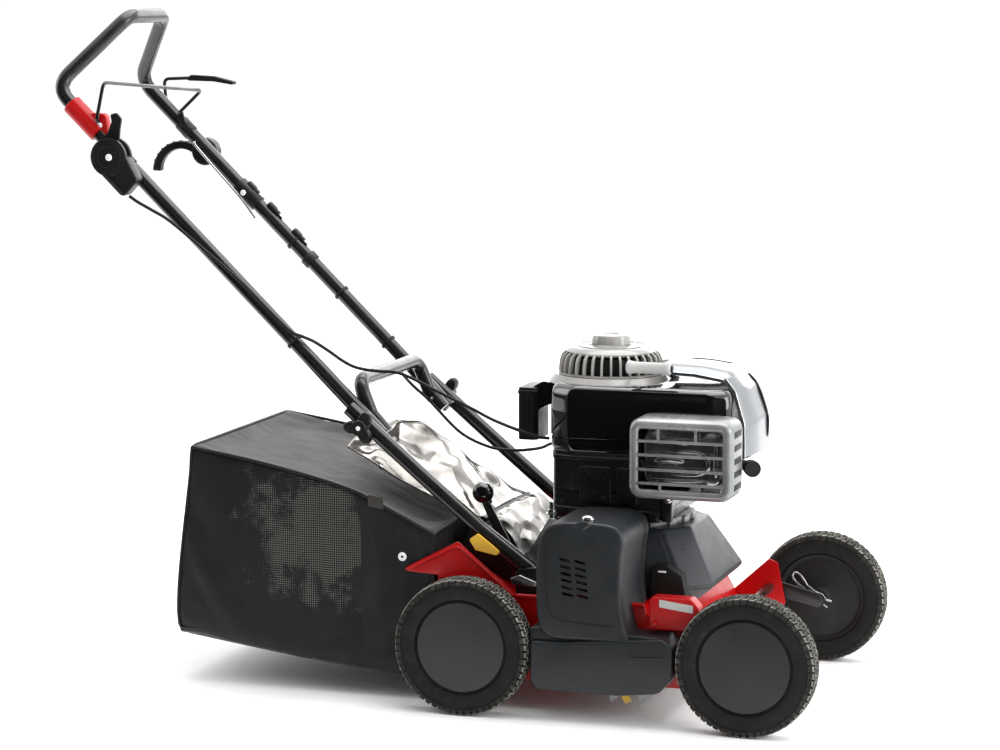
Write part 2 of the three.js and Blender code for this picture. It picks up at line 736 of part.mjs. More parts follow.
// The muffler and its cage on the right side.
const CAGE = { x0: 219, x1: 372, y0: -168, y1: -105, z0: 312, z1: 428, wall: 4 };
function roundedSide(x0, x1, z0, z1, r) {
  const shape = new THREE.Shape();
  shape.moveTo(x0 + r, z0);
  shape.lineTo(x1 - r, z0);
  shape.quadraticCurveTo(x1, z0, x1, z0 + r);
  shape.lineTo(x1, z1 - r);
  shape.quadraticCurveTo(x1, z1, x1 - r, z1);
  shape.lineTo(x0 + r, z1);
  shape.quadraticCurveTo(x0, z1, x0, z1 - r);
  shape.lineTo(x0, z0 + r);
  shape.quadraticCurveTo(x0, z0, x0 + r, z0);
  return shape;
}
const windows = [];
const rows = 5;
const rowHeight = (CAGE.z1 - CAGE.z0 - 24) / rows;
for (let row = 0; row < rows; row += 1) {
  for (const [x0, x1] of [[CAGE.x0 + 12, 256], [260, 318], [322, CAGE.x1 - 12]]) {
    const z = CAGE.z0 + 12 + row * rowHeight;
    windows.push(box(x0, x1, CAGE.y0 - 2, CAGE.y0 + 8, z + 2, z + rowHeight - 2));
  }
  const z = CAGE.z0 + 12 + row * rowHeight;
  windows.push(box(CAGE.x1 - 8, CAGE.x1 + 2, CAGE.y0 + 12, CAGE.y1 - 8, z + 3, z + rowHeight - 5));
}
const cage = cut(
  prismY(roundedSide(CAGE.x0, CAGE.x1, CAGE.z0, CAGE.z1, 20), CAGE.y0, CAGE.y1),
  prismY(
    roundedSide(CAGE.x0 + CAGE.wall, CAGE.x1 - CAGE.wall, CAGE.z0 + CAGE.wall, CAGE.z1 - CAGE.wall, 17),
    CAGE.y0 + CAGE.wall,
    CAGE.y1 + 5,
  ),
  ...windows,
);
add("muffler_guard", cage, castMetal);
add("muffler", prismY(roundedSide(238, 358, 330, 414, 22), -156, -106, 6), brightSteel);

// The cylinder head stands in front of the crankcase, with its cooling fins and the spark plug on its right.
const FIN = { count: 5, z: 300, pitch: 12, thick: 3 };
const fins = [];
for (let i = 0; i < FIN.count; i += 1) {
  const z = FIN.z + i * FIN.pitch;
  fins.push(box(306.5, 334, -70, 40, z, z + FIN.thick));
}
const PLUG = { from: [350, -40, 350], to: [376, -72, 350.6], tip: [385, -92, 351] };
const head = joined(
  box(306.5, 328, -56, 30, 296, 358),
  ...fins,
  box(326, 356, -54, -34, 341, 359),
  bar(PLUG.from, PLUG.to, 8, 12),
);
add("cylinder_head", cut(head, box(200, 420, -200, 200, 365.6, 420)), castMetal);
const plugBore = bar(PLUG.from, PLUG.to, 8 + GAP, 12);
add("spark_plug_boot", cut(bar(PLUG.to, PLUG.tip, 12), plugBore), beltRubber);

add(
  "fuel_cap",
  turnedZ(
    [[0, 446], [12, 446], [12, SHROUD_TOP + 0.8], [17, SHROUD_TOP + 0.8], [17, 477], [14, 480], [0, 480]],
    212, 82, 20,
  ),
  blackPlastic,
);

// ---- handle ----
const SLOPE = (GRIP_BEND.z - FOLD.z) / (GRIP_BEND.x - FOLD.x);
const onTube = (x) => FOLD.z + SLOPE * (x - FOLD.x);
const boltHole = (radius) => barY(FOLD.x, FOLD.z, -230, 230, radius, 12);

const upperSide = [
  [FOLD.x + 17, -UPPER_Y, onTube(FOLD.x + 17)],
  [GRIP_BEND.x, -UPPER_Y, GRIP_BEND.z],
  [GRIP_TOP.x, -GRIP_TOP.y, GRIP_TOP.z],
];
const BAIL_HOLE = 3.3;
const upperHandle = cut(
  tube(bent([...upperSide, ...mirrored(upperSide)], 34), TUBE_R),
  boltHole(4.8),
  barY(DRIVE.x, onTube(DRIVE.x), 151, 180, BAIL_HOLE, 8),
);
add("upper_handle", upperHandle, tubeBlack);

// A bar along Y on one side of the machine, between two distances from its middle.
const sideBar = (side, x, z, near, far, radius, sides) =>
  barY(x, z, Math.min(side * near, side * far), Math.max(side * near, side * far), radius, sides);
const sidePrism = (side, points, near, far) =>
  prismY(points, Math.min(side * near, side * far), Math.max(side * near, side * far));

// Each lower leg ends in a foot plate that is bolted to the deck's top.
const legRoute = [
  [FOLD.x - 26, LEG_Y, FOLD.z + 25], [-93, LEG_Y, 332], [0, LEG_Y, 256], [88, LEG_Y, 193],
];
const footPlate = [[64, 204], [96, 208], [106, 190], [106, 159], [58, 159], [58, 198]];
const footLug = [[78, 202], [94, 202], [94, 186], [78, 186]];
const footFlange = [[58, 158.6], [106, 158.6], [106, 162], [58, 162]];
for (const [name, side] of [["right", -1], ["left", 1]]) {
  const leg = joined(
    tube(bent(legRoute.map(([x, y, z]) => [x, side * y, z]), 120, 3), TUBE_R),
    sidePrism(side, footPlate, LEG_Y + 12, LEG_Y + 16),
    sidePrism(side, footLug, LEG_Y, LEG_Y + 14),
    sidePrism(side, footFlange, LEG_Y + 2, LEG_Y + 16),
  );
  add(`handle_leg_${name}`, cut(leg, boltHole(4.8)), tubeBlack);
}

const braceSide = [
  [FOLD.x + 16, -BRACE_Y, FOLD.z - 16], [FOLD.x - 8, -BRACE_Y, FOLD.z + 10], [-206, -BRACE_Y, 459],
];
const braceTube = tube(bent([...braceSide, ...mirrored(braceSide)], 26, 3), TUBE_R);
add("handle_brace", cut(braceTube, boltHole(4.8)), tubeBlack);

const WING = { off: 17, r: 9 };
// Each fold knob has three wings, and its screw goes through the leg, the upper handle and the brace.
for (const [name, side] of [["right", -1], ["left", 1]]) {
  const wings = [];
  for (let i = 0; i < 3; i += 1) {
    const angle = Math.PI + (2 * Math.PI * i) / 3;
    const x = FOLD.x + WING.off * Math.cos(angle);
    const z = FOLD.z + WING.off * Math.sin(angle);
    wings.push(sideBar(side, x, z, 186, 202, WING.r, 12));
  }
  const knob = joined(
    sideBar(side, FOLD.x, FOLD.z, LEG_Y + TUBE_R + 0.6, 206, 12),
    ...wings,
    sideBar(side, FOLD.x, FOLD.z, BRACE_Y - TUBE_R - 0.4, 190, 4, 8),
  );
  add(`fold_knob_${name}`, knob, blackPlastic);
}

// ---- controls on the handle ----
const tubeAt = (x, y) => [x, y, onTube(x)];
const bracket = cut(
  joined(
    bar(tubeAt(-655, -UPPER_Y), tubeAt(-610, -UPPER_Y), 15.5),
    prismY([[-630, 838], [-618, 850], [-596, 849], [-592, 818], [-606, 810]], -159, -144),
  ),
  bar(tubeAt(-670, -UPPER_Y), tubeAt(-580, -UPPER_Y), TUBE_R + 0.7, 12),
  barY(BAIL.x, BAIL.z, -170, -140, BAIL_HOLE + 0.3, 8),
);
add("bail_bracket", bracket, redPaint);

const bailRoute = [
  [BAIL.x, -146, BAIL.z], [BAIL.x, BAIL.nearY, BAIL.z], [-594, BAIL.nearY, 896],
  [-568, BAIL.farY, 873], [BAIL.x, BAIL.farY, BAIL.z], [BAIL.x, BAIL.farY + 7, BAIL.z],
];
add("stop_bail", tube(bent(bailRoute, 8), WIRE_R, 8), tubeBlack);

add(
  "bail_clip_left",
  cut(
    joined(
      bar(tubeAt(-612, UPPER_Y), tubeAt(-594, UPPER_Y), 14.5),
      prismY([[-618, 838], [-612, 848], [-600, 847], [-596, 822], [-606, 812]], 136.4, 150),
    ),
    bar(tubeAt(-640, UPPER_Y), tubeAt(-570, UPPER_Y), TUBE_R + 0.7, 12),
    barY(BAIL.x, BAIL.z, 120, 160, BAIL_HOLE + 0.3, 8),
  ),
  blackPlastic,
);

const driveRoute = [
  [DRIVE.x, 156, onTube(DRIVE.x)], [DRIVE.x, DRIVE.y, onTube(DRIVE.x)], [-648, DRIVE.y, 889],
  [-600, DRIVE.y, 891],
];
const driveWire = tube(bent(driveRoute, 9), WIRE_R, 8);
const drivePaddle = prismY(
  [[-606, 887], [-600, 896], [-560, 894], [-526, 886], [-526, 881], [-560, 886]],
  DRIVE.y - 7,
  DRIVE.y + 7,
  1,
);
add("drive_lever", joined(driveWire, drivePaddle), tubeBlack);

// The throttle box hangs on the outside of the right tube: a disc that narrows towards the cable's end,
// with a slot all round its upper half for the thumb lever.
const taper = { x: -544.5, z: 740, half: 16 };
const taperLength = Math.hypot(taper.x - THROTTLE.x, taper.z - THROTTLE.z);
const acrossX = (THROTTLE.z - taper.z) / taperLength;
const acrossZ = (taper.x - THROTTLE.x) / taperLength;
const beside = (place, reach) => [place.x + acrossX * reach, place.z + acrossZ * reach];
const throttleBox = cut(
  joined(
    barY(THROTTLE.x, THROTTLE.z, THROTTLE.y0, THROTTLE.y1, THROTTLE.r, 24),
    prismY(
      [beside(THROTTLE, 27), beside(taper, taper.half), beside(taper, -taper.half), beside(THROTTLE, -27)],
      THROTTLE.y0 + 2,
      THROTTLE.y1,
    ),
  ),
  cut(
    barY(THROTTLE.x, THROTTLE.z, -180, -173, THROTTLE.r + 20, 24),
    barY(THROTTLE.x, THROTTLE.z, -182, -171, 11, 16),
    prismY([[-660, 720], [-500, 720], [-500, 777], [-559, 794], [-599, 794], [-660, 777]], -182, -171),
  ),
);
add("throttle_box", throttleBox, blackPlastic);
const thumbLever = prismY(
  [
    [-588, 799], [-596, 813], [-584, 822], [-577, 838], [-579, 849], [-569, 852], [-561, 843],
    [-564, 826], [-565, 812], [-572, 799],
  ],
  -179,
  -174,
);
add("throttle_lever", thumbLever, blackPlastic);

// The crescent lever turns beside the left tube.
const CRESCENT = { x: CLUTCH.x - 42, z: CLUTCH.z - 34, outer: 50, inner: 36, from: 20, to: 178, steps: 8 };
function crescentOutline() {
  const points = [];
  for (const [radius, from, to] of [
    [CRESCENT.outer, CRESCENT.from, CRESCENT.to],
    [CRESCENT.inner, CRESCENT.to, CRESCENT.from],
  ]) {
    for (let i = 0; i <= CRESCENT.steps; i += 1) {
      const angle = THREE.MathUtils.degToRad(from + ((to - from) * i) / CRESCENT.steps);
      points.push([CRESCENT.x + radius * Math.cos(angle), CRESCENT.z + radius * Math.sin(angle)]);
    }
  }
  return points;
}
add(
  "clutch_lever",
  joined(
    barY(CLUTCH.x, CLUTCH.z, CLUTCH.y0, CLUTCH.y1, CLUTCH.r, 20),
    prismY(crescentOutline(), CLUTCH.y0 + 3, CLUTCH.y1 - 3),
  ),
  blackPlastic,
);

// ---- depth lever, flap and bag ----
const depthBar = prismY([[DEPTH.x - 9, DEPTH.z - 4], [DEPTH.x + 4, DEPTH.z - 9], [DEPTH.x + 9, DEPTH.z + 3],
  [-4, 294], [-14, 290]], DEPTH.y - 3, DEPTH.y + 3);
const depthPin = barY(DEPTH.x, DEPTH.z, -CHUTE_HALF - 0.8, DEPTH.y - 6, 5, 12);
const ball = new THREE.SphereGeometry(DEPTH.ball, 14, 10);
ball.translate(-11, DEPTH.y, 302);
add("depth_lever", joined(depthBar, depthPin, solid(ball)), blackPlastic);

// A sheet that is crowned across its width: rows along X, columns across Y.
const flapRows = [
  { x: -232, edge: 354, crown: 18 },
  { x: -196, edge: 336, crown: 38 },
  { x: -155, edge: 312, crown: 54 },
  { x: -118, edge: 295, crown: 54 },
  { x: -84, edge: 281, crown: 42 },
  { x: -50, edge: 268, crown: 22 },
  { x: -20, edge: 259, crown: 4 },
];
function crownedSheet(rowsOf, half, thickness, columns) {
  const across = columns + 1;
  const points = [];
  for (const lift of [0, thickness]) {
    for (const { x, edge, crown } of rowsOf) {
      for (let i = 0; i < across; i += 1) {
        const share = (2 * i) / columns - 1;
        points.push(new THREE.Vector3(x, share * half, edge + crown * (1 - share * share) + lift));
      }
    }
  }
  const layer = rowsOf.length * across;
  const triangles = [];
  const quad = (a, b, c, d) => triangles.push(a, b, c, a, c, d);
  for (let r = 0; r < rowsOf.length - 1; r += 1) {
    for (let i = 0; i < columns; i += 1) {
      const a = r * across + i;
      quad(a, a + 1, a + across + 1, a + across);
      quad(layer + a, layer + a + across, layer + a + across + 1, layer + a + 1);
    }
    const left = r * across;
    const right = left + columns;
    quad(left, left + across, layer + left + across, layer + left);
    quad(right, layer + right, layer + right + across, right + across);
  }
  const lastRow = (rowsOf.length - 1) * across;
  for (let i = 0; i < columns; i += 1) {
    quad(i, layer + i, layer + i + 1, i + 1);
    quad(lastRow + i, lastRow + i + 1, layer + lastRow + i + 1, layer + lastRow + i);
  }
  const geometry = new THREE.BufferGeometry().setFromPoints(points);
  geometry.setIndex(triangles);
  return solid(geometry);
}
const flap = joined(
  crownedSheet(flapRows, FLAP_HALF, FLAP_THICK, 10),
  barY(FLAP_HINGE.x, FLAP_HINGE.z, -FLAP_HALF, FLAP_HALF, FLAP_HINGE.r, 12),
);
add("rear_flap", flap, smokePlastic);

// The bag is open at its front, and hangs on a wire frame that stands just inside the mouth.
const bagSide = [
  [-66, 112], [-66, 250], [-120, 276], [-201, 312], [-330, 342], [-449, 362], [-476, 84], [-464, 68],
  [-275, 42], [-112, 26], [-96, 34],
];
const bagInside = [
  [-71, 114], [-71, 246], [-122, 270], [-203, 306], [-331, 336], [-444, 355], [-470, 88], [-460, 74],
  [-275, 48], [-116, 33], [-101, 40],
];
const bag = cut(
  prismY(bagSide, -BAG_HALF, BAG_HALF, 6),
  prismY(bagInside, -BAG_HALF + 6.5, BAG_HALF - 6.5),
  box(-90, -50, -180, 180, 120, 192),
);
add("grass_bag", bag, bagFabric);
const frameRing = cut(
  prismX([[-184, 116], [184, 116], [184, 240], [-184, 240]], -84, -77),
  prismX([[-177, 123], [177, 123], [177, 233], [-177, 233]], -90, -70),
);
add("bag_frame", frameRing, brightSteel);

// ---- cables: each is held by the handle, and has a separate stretch on each side of the fold ----
const beneath = (x, y, drop) => [x, y, onTube(x) - drop];
const cables = {
  stop_cable_upper: [
    [-551, -176, 728], [-537, -175, 719], [-513, -172, 706], [-488, -171, 692], [-440, -171, 656],
    [-376, -171, 606], [-330, -170, 563], [-298, -168, 534], [-283, -160, 526], [-268, -148, 517],
    [-250, -132, 501], [-233, -126, 488], [-216, -126, 480],
  ],
  stop_cable_lower: [
    [-215, -126, 479.6], [-196, -122, 475], [-176, -118, 473], [-141, -117, 470], [-80, -117, 444],
    [-36, -117, 425], [-6, -114, 410], [14, -98, 398], [34, -80, 387], [54, -66, 378], [69, -60, 376],
  ],
  drive_cable_upper: [
    [-575, 190, 752], [-548, 184, 730], [-505, 174, 702], beneath(-420, 171, 8), beneath(-340, 171, 5),
    beneath(-285, 170, 6), [-256, 165, 462], [-248, 156, 450],
  ],
  drive_cable_lower: [
    [-247.6, 155.5, 449.4], [-241, 146, 441], [-230, 130, 434], [-208, 116, 419], [-180, 114, 397],
    [-130, 114, 350], [-81, 114, 329], [-41, 114, 326], [-14, 112, 329], [8, 99, 335], [28, 77, 345],
    [50, 56, 354], [72, 48, 358],
  ],
};
for (const [name, points] of Object.entries(cables)) {
  add(name, cord(points, CABLE_R, 21), beltRubber);
}

model.position.x = ORIGIN_SHIFT_X;
const root = new THREE.Group();
root.add(model);
export default root;
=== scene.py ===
import math

import bmesh
import bpy
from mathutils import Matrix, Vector, noise


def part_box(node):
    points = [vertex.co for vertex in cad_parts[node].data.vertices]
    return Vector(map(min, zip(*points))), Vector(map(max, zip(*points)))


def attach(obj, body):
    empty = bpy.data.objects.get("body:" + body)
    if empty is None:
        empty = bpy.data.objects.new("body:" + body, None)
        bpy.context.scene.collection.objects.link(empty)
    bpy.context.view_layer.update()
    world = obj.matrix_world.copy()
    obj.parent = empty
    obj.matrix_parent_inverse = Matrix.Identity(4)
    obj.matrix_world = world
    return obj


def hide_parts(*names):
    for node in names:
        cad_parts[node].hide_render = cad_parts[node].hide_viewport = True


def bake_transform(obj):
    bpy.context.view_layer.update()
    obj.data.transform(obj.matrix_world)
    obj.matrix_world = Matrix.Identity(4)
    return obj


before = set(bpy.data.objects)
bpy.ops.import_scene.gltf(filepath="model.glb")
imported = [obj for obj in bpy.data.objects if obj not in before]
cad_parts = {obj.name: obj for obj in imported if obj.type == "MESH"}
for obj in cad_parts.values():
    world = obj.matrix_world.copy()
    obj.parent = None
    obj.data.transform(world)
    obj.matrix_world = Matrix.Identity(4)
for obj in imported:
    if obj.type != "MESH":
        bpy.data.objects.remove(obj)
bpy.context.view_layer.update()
scene = bpy.context.scene
scene.view_settings.view_transform = "Standard"

# ---- places: millimetres from the middle of the rear axle's line, as the frame has it ----
axle_low, axle_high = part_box("rear_axle")
AXLE_X = (axle_low.x + axle_high.x) / 2
FOLD = (-178, 400)
SLOPE = -488 / 503
UPPER_Y = 151.5
LEG_Y = 174


def mm(x, y, z):
    return Vector((AXLE_X + x / 1000, y / 1000, z / 1000))


def on_tube(x):
    return FOLD[1] + SLOPE * (x - FOLD[0])


# ---- camera, stage and light ----
camera = bpy.data.objects.new("camera", bpy.data.cameras.new("camera"))
scene.collection.objects.link(camera)
camera.location = (1.45096, -4.2671, 1.0656)
camera.rotation_mode = "QUATERNION"
camera.rotation_quaternion = Vector((-0.30812, 0.94186, -0.134)).to_track_quat("-Z", "Y")
camera.data.lens = 108.5
camera.data.sensor_width = 36
scene.camera = camera


def area_light(name, place, aim, size, power):
    light = bpy.data.lights.new(name, "AREA")
    light.shape = "RECTANGLE"
    light.size, light.size_y = size
    light.energy = power
    lamp = bpy.data.objects.new(name, light)
    scene.collection.objects.link(lamp)
    lamp.location = place
    lamp.rotation_mode = "QUATERNION"
    lamp.rotation_quaternion = (Vector(aim) - Vector(place)).to_track_quat("-Z", "Y")
    return lamp


area_light("top_soft", (0.4, 0.6, 3.4), (0, 0, 0.3), (3.6, 2.8), 95)
area_light("front_soft", (3.4, -0.5, 1.4), (0, 0, 0.35), (2.2, 1.8), 60)
area_light("front_corner", (2.4, -1.7, 1.1), (0.2, 0, 0.35), (0.9, 0.9), 22)
area_light("rear_soft", (-3.2, -0.2, 1.9), (0, 0, 0.4), (1.2, 1.8), 12)
area_light("far_soft", (0.2, 3.6, 1.8), (0, 0, 0.4), (3.6, 1.8), 40)
area_light("near_strip", (-0.5, -4.4, 2.2), (0, 0, 0.4), (0.5, 1.8), 9)

# the studio is white above and behind the object, and dark on the camera's side
world = bpy.data.worlds.new("studio")
scene.world = world
world.use_nodes = True
sky = world.node_tree
direction = sky.nodes.new("ShaderNodeSeparateXYZ")
sky.links.new(sky.nodes.new("ShaderNodeTexCoord").outputs["Generated"], direction.inputs["Vector"])
depth = sky.nodes.new("ShaderNodeMath")
depth.operation = "MULTIPLY_ADD"
depth.inputs[1].default_value = 0.55
sky.links.new(direction.outputs["Z"], depth.inputs[0])
sky.links.new(direction.outputs["Y"], depth.inputs[2])
fade = sky.nodes.new("ShaderNodeMapRange")
fade.interpolation_type = "SMOOTHSTEP"
for key, value in (("From Min", -0.7), ("From Max", 0.25), ("To Min", 0.07), ("To Max", 1.35)):
    fade.inputs[key].default_value = value
sky.links.new(depth.outputs["Value"], fade.inputs["Value"])
sky.links.new(fade.outputs["Result"], sky.nodes["Background"].inputs["Strength"])
sky.nodes["Background"].inputs["Color"].default_value = (1, 1, 1, 1)


# a black card, seen only in reflections, keeps the camera's side of glossy pieces dark
CARD_LEFT, CARD_RIGHT, CARD_Y, CARD_TOP = -2.6, 3.2, -0.62, 1.7
card_corners = [
    (CARD_LEFT, CARD_Y, 0.0), (CARD_RIGHT, CARD_Y, 0.0), (CARD_RIGHT, CARD_Y, CARD_TOP),
    (CARD_LEFT, CARD_Y, CARD_TOP),
]
card_mesh = bpy.data.meshes.new("card")
card_mesh.from_pydata(card_corners, [], [(0, 1, 2, 3)])
card = bpy.data.objects.new("card", card_mesh)
scene.collection.objects.link(card)
card.visible_camera = False
card.visible_diffuse = False
card.visible_shadow = False
card.visible_transmission = False
black_card = bpy.data.materials.new("card_black")
black_card.use_nodes = True
card_shader = black_card.node_tree.nodes["Principled BSDF"]
card_shader.inputs["Base Color"].default_value = (0.01, 0.01, 0.01, 1)
card_shader.inputs["Specular IOR Level"].default_value = 0
card_mesh.materials.append(black_card)


# ---- finishes ----
def rgb(red, green, blue):
    """A colour from its 0 to 255 values, as light."""
    shares = [value / 255 for value in (red, green, blue)]
    return tuple(s / 12.92 if s <= 0.04045 else ((s + 0.055) / 1.055) ** 2.4 for s in shares) + (1.0,)


class Nodes:
    """A material under construction: short calls for the nodes that every finish uses."""

    def __init__(self, name):
        self.material = bpy.data.materials.new(name)
        self.material.use_nodes = True
        self.tree = self.material.node_tree
        self.shader = self.tree.nodes["Principled BSDF"]
        self.place = self.new("ShaderNodeTexCoord").outputs["Object"]

    def new(self, kind, **settings):
        node = self.tree.nodes.new(kind)
        for key, value in settings.items():
            setattr(node, key, value)
        return node

    def link(self, source, target):
        self.tree.links.new(source, target)

    def noise(self, scale, detail=3.0, rough=0.5, stretch=None):
        node = self.new("ShaderNodeTexNoise")
        node.inputs["Scale"].default_value = scale
        node.inputs["Detail"].default_value = detail
        node.inputs["Roughness"].default_value = rough
        source = self.place
        if stretch:
            mapping = self.new("ShaderNodeMapping")
            mapping.inputs["Scale"].default_value = stretch
            self.link(self.place, mapping.inputs["Vector"])
            source = mapping.outputs["Vector"]
        self.link(source, node.inputs["Vector"])
        return node.outputs["Fac"]

    def spread(self, source, low, high, to_low, to_high):
        node = self.new("ShaderNodeMapRange")
        for key, value in (("From Min", low), ("From Max", high), ("To Min", to_low), ("To Max", to_high)):
            node.inputs[key].default_value = value
        self.link(source, node.inputs["Value"])
        return node.outputs["Result"]

    def sum(self, operation, first, second):
        node = self.new("ShaderNodeMath", operation=operation)
        for socket, value in zip(node.inputs, (first, second)):
            if isinstance(value, (int, float)):
                socket.default_value = value
            else:
                self.link(value, socket)
        return node.outputs["Value"]

    def mix(self, share, first, second):
        node = self.new("ShaderNodeMix", data_type="RGBA")
        self.link(share, node.inputs["Factor"])
        for key, value in ((6, first), (7, second)):
            if isinstance(value, tuple):
                node.inputs[key].default_value = value
            else:
                self.link(value, node.inputs[key])
        return node.outputs[2]

    def bump(self, height, strength, depth, before=None):
        node = self.new("ShaderNodeBump")
        node.inputs["Strength"].default_value = strength
        node.inputs["Distance"].default_value = depth
        self.link(height, node.inputs["Height"])
        if before is not None:
            self.link(before, node.inputs["Normal"])
        return node.outputs["Normal"]


def finish(name, dark, light, rough, spread=0.08, cloud=9, grain=420, bump=0.12, depth=0.0004,
           metal=0.0, coat=0.0, coat_rough=0.1, specular=0.5, dust=None, dust_share=0.5, wear=None):
    """A finish with clouds of two colours, uneven gloss, fine grain, and dust or worn edges if it has any."""
    n = Nodes(name)
    colour = n.mix(n.spread(n.noise(cloud, 4), 0.35, 0.65, 0, 1), dark, light)
    fine = n.noise(grain, 5, 0.6)
    if dust:
        patches = n.spread(n.noise(55, 6, 0.7), 0.62 - dust_share * 0.4, 0.72, 0, 1)
        upward = n.new("ShaderNodeSeparateXYZ")
        n.link(n.new("ShaderNodeNewGeometry").outputs["Normal"], upward.inputs["Vector"])
        facing = n.spread(upward.outputs["Z"], -0.4, 0.9, 0.25, 1)
        colour = n.mix(n.sum("MULTIPLY", patches, facing), colour, dust)
    if wear:
        edges = n.spread(n.new("ShaderNodeNewGeometry").outputs["Pointiness"], 0.52, 0.6, 0, 1)
        colour = n.mix(n.sum("MULTIPLY", edges, n.spread(n.noise(160, 4), 0.4, 0.6, 0.2, 1)), colour, wear)
    n.link(colour, n.shader.inputs["Base Color"])
    smudge = n.noise(34, 4, 0.6)
    n.link(n.spread(smudge, 0.3, 0.7, max(rough - spread, 0.02), rough + spread),
           n.shader.inputs["Roughness"])
    n.link(n.bump(fine, bump, depth), n.shader.inputs["Normal"])
    n.shader.inputs["Metallic"].default_value = metal
    n.shader.inputs["Coat Weight"].default_value = coat
    n.shader.inputs["Coat Roughness"].default_value = coat_rough
    n.shader.inputs["Specular IOR Level"].default_value = specular
    return n.material


RUBBER = finish("tyre_rubber", rgb(13, 13, 13), rgb(19, 19, 18), 0.7, grain=900, bump=0.25, specular=0.3,
                dust=rgb(44, 42, 36), dust_share=0.2)
TREAD = finish("dusty_tread", rgb(24, 23, 21), rgb(40, 38, 33), 0.8, cloud=60, grain=700, bump=0.5,
               dust=rgb(78, 76, 71), dust_share=0.3, specular=0.4)
# a painted highlight: the pale band round each tread block's top edge stands in for light catching the block
# edges
TREAD_HIGHLIGHT_BAND = finish("painted_highlight_tread_band", rgb(74, 73, 69), rgb(150, 148, 140), 0.8, cloud=70, grain=700,
                    bump=0.4,
                    specular=0.3)
HUB_REAR = finish("hubcap", rgb(39, 36, 36), rgb(46, 42, 42), 0.42, grain=1100, bump=0.16, specular=0.4)
HUB_FRONT = finish("hubcap_front", rgb(31, 31, 31), rgb(37, 37, 37), 0.42, grain=1100, bump=0.16,
                   specular=0.4)
RED = finish("red_enamel", rgb(150, 0, 2), rgb(176, 2, 4), 0.34, grain=260, bump=0.04, coat=0.15,
             coat_rough=0.08, specular=0.3)
GREY = finish("charcoal_moulding", rgb(24, 27, 30), rgb(31, 34, 37), 0.44, grain=1500, bump=0.22,
              specular=0.4)
TOWER = finish("charcoal_casting", rgb(32, 35, 39), rgb(42, 45, 49), 0.34, grain=1100, bump=0.3, specular=0.5)
BLACK = finish("black_moulding", rgb(17, 17, 18), rgb(27, 27, 28), 0.4, grain=1300, bump=0.2, specular=0.4)
ENAMEL = finish("engine_enamel", rgb(14, 14, 17), rgb(22, 22, 25), 0.3, grain=600, bump=0.35, coat=0.3,
                specular=0.45)
GLOSS = finish("gloss_housing", rgb(7, 7, 10), rgb(12, 12, 15), 0.1, spread=0.03, cloud=4, grain=60,
               bump=0.02,
               coat=1.0, coat_rough=0.03)
TUBE = finish("tube_powder_coat", rgb(15, 15, 15), rgb(20, 20, 19), 0.3, grain=1400, bump=0.05, coat=0.4,
              coat_rough=0.12)
STEEL = finish("bright_steel", rgb(190, 192, 194), rgb(222, 223, 224), 0.22, grain=240, bump=0.06, metal=1.0)
CAST = finish("cast_metal", rgb(122, 124, 125), rgb(158, 159, 160), 0.3, grain=520, bump=0.3, metal=0.6)
DARK_STEEL = finish("oiled_steel", rgb(92, 92, 92), rgb(132, 131, 129), 0.38, grain=300, bump=0.2, metal=1.0)
SILVER = finish("silver_moulding", rgb(128, 130, 133), rgb(150, 152, 155), 0.24, grain=1500, bump=0.03,
                metal=0.7,
                coat=0.3, coat_rough=0.05)
SOFT = finish("soft_black", rgb(16, 16, 16), rgb(25, 25, 24), 0.55, grain=1200, bump=0.2, specular=0.35)
SATIN = finish("satin_grey", rgb(132, 130, 127), rgb(158, 156, 152), 0.2, grain=900, bump=0.05, coat=0.5)
PALE = finish("pale_grey_moulding", rgb(158, 160, 158), rgb(190, 190, 187), 0.38, grain=900, bump=0.12)
YELLOW = finish("yellow_moulding", rgb(205, 158, 40), rgb(232, 190, 70), 0.4, grain=900, bump=0.1)
WHITE = finish("white_screw_cap", rgb(225, 226, 228), rgb(240, 240, 240), 0.3, grain=900, bump=0.05)


# ---- shapes: each is (points, faces), in metres ----
def ring_faces(rings, sides, wrap=False, caps=True):
    faces = []
    for ring in range(rings if wrap else rings - 1):
        here = ring * sides
        after = ((ring + 1) % rings) * sides
        for i in range(sides):
            j = (i + 1) % sides
            faces.append((here + i, here + j, after + j, after + i))
    if caps and not wrap:
        faces.append(tuple(range(sides)))
        faces.append(tuple(range((rings - 1) * sides, rings * sides)))
    return faces


def lathe(profile, centre, axis, sides=64):
    """A turned shape: profile points are (radius, distance along the axis), in mm."""
    turn = Vector(axis).to_track_quat("Z", "Y").to_matrix()
    closed = profile[0] == profile[-1]
    rings = profile[:-1] if closed else profile
    points = []
    for radius, reach in rings:
        for i in range(sides):
            angle = math.tau * i / sides
            local = Vector((radius * math.cos(angle), radius * math.sin(angle), reach))
            points.append(centre + turn @ local / 1000)
    return points, ring_faces(len(rings), sides, wrap=closed)


def sweep(route, radius, sides=20, closed=False, up=None, squash=1.0):
    """A round section carried along a route. The radius is one number, or one for each point, in mm."""
    count = len(route)
    radii = radius if isinstance(radius, list) else [radius] * count
    normal = None
    points = []
    for i, here in enumerate(route):
        before = route[i - 1] if i or closed else here
        after = route[(i + 1) % count] if i < count - 1 or closed else here
        along = (after - before).normalized()
        if up is not None:
            normal = (Vector(up) - along * along.dot(Vector(up))).normalized()
        elif normal is None:
            normal = along.orthogonal().normalized()
        else:
            normal = (normal - along * along.dot(normal)).normalized()
        side = along.cross(normal)
        for k in range(sides):
            angle = math.tau * (k + 0.5) / sides
            offset = normal * math.cos(angle) * squash + side * math.sin(angle)
            points.append(here + offset * radii[i] / 1000)
    return points, ring_faces(count, sides, wrap=closed)


PLANES = {
    "x": lambda u, v, w: mm(w, u, v),
    "y": lambda u, v, w: mm(u, w, v),
    "z": lambda u, v, w: mm(u, v, w),
}


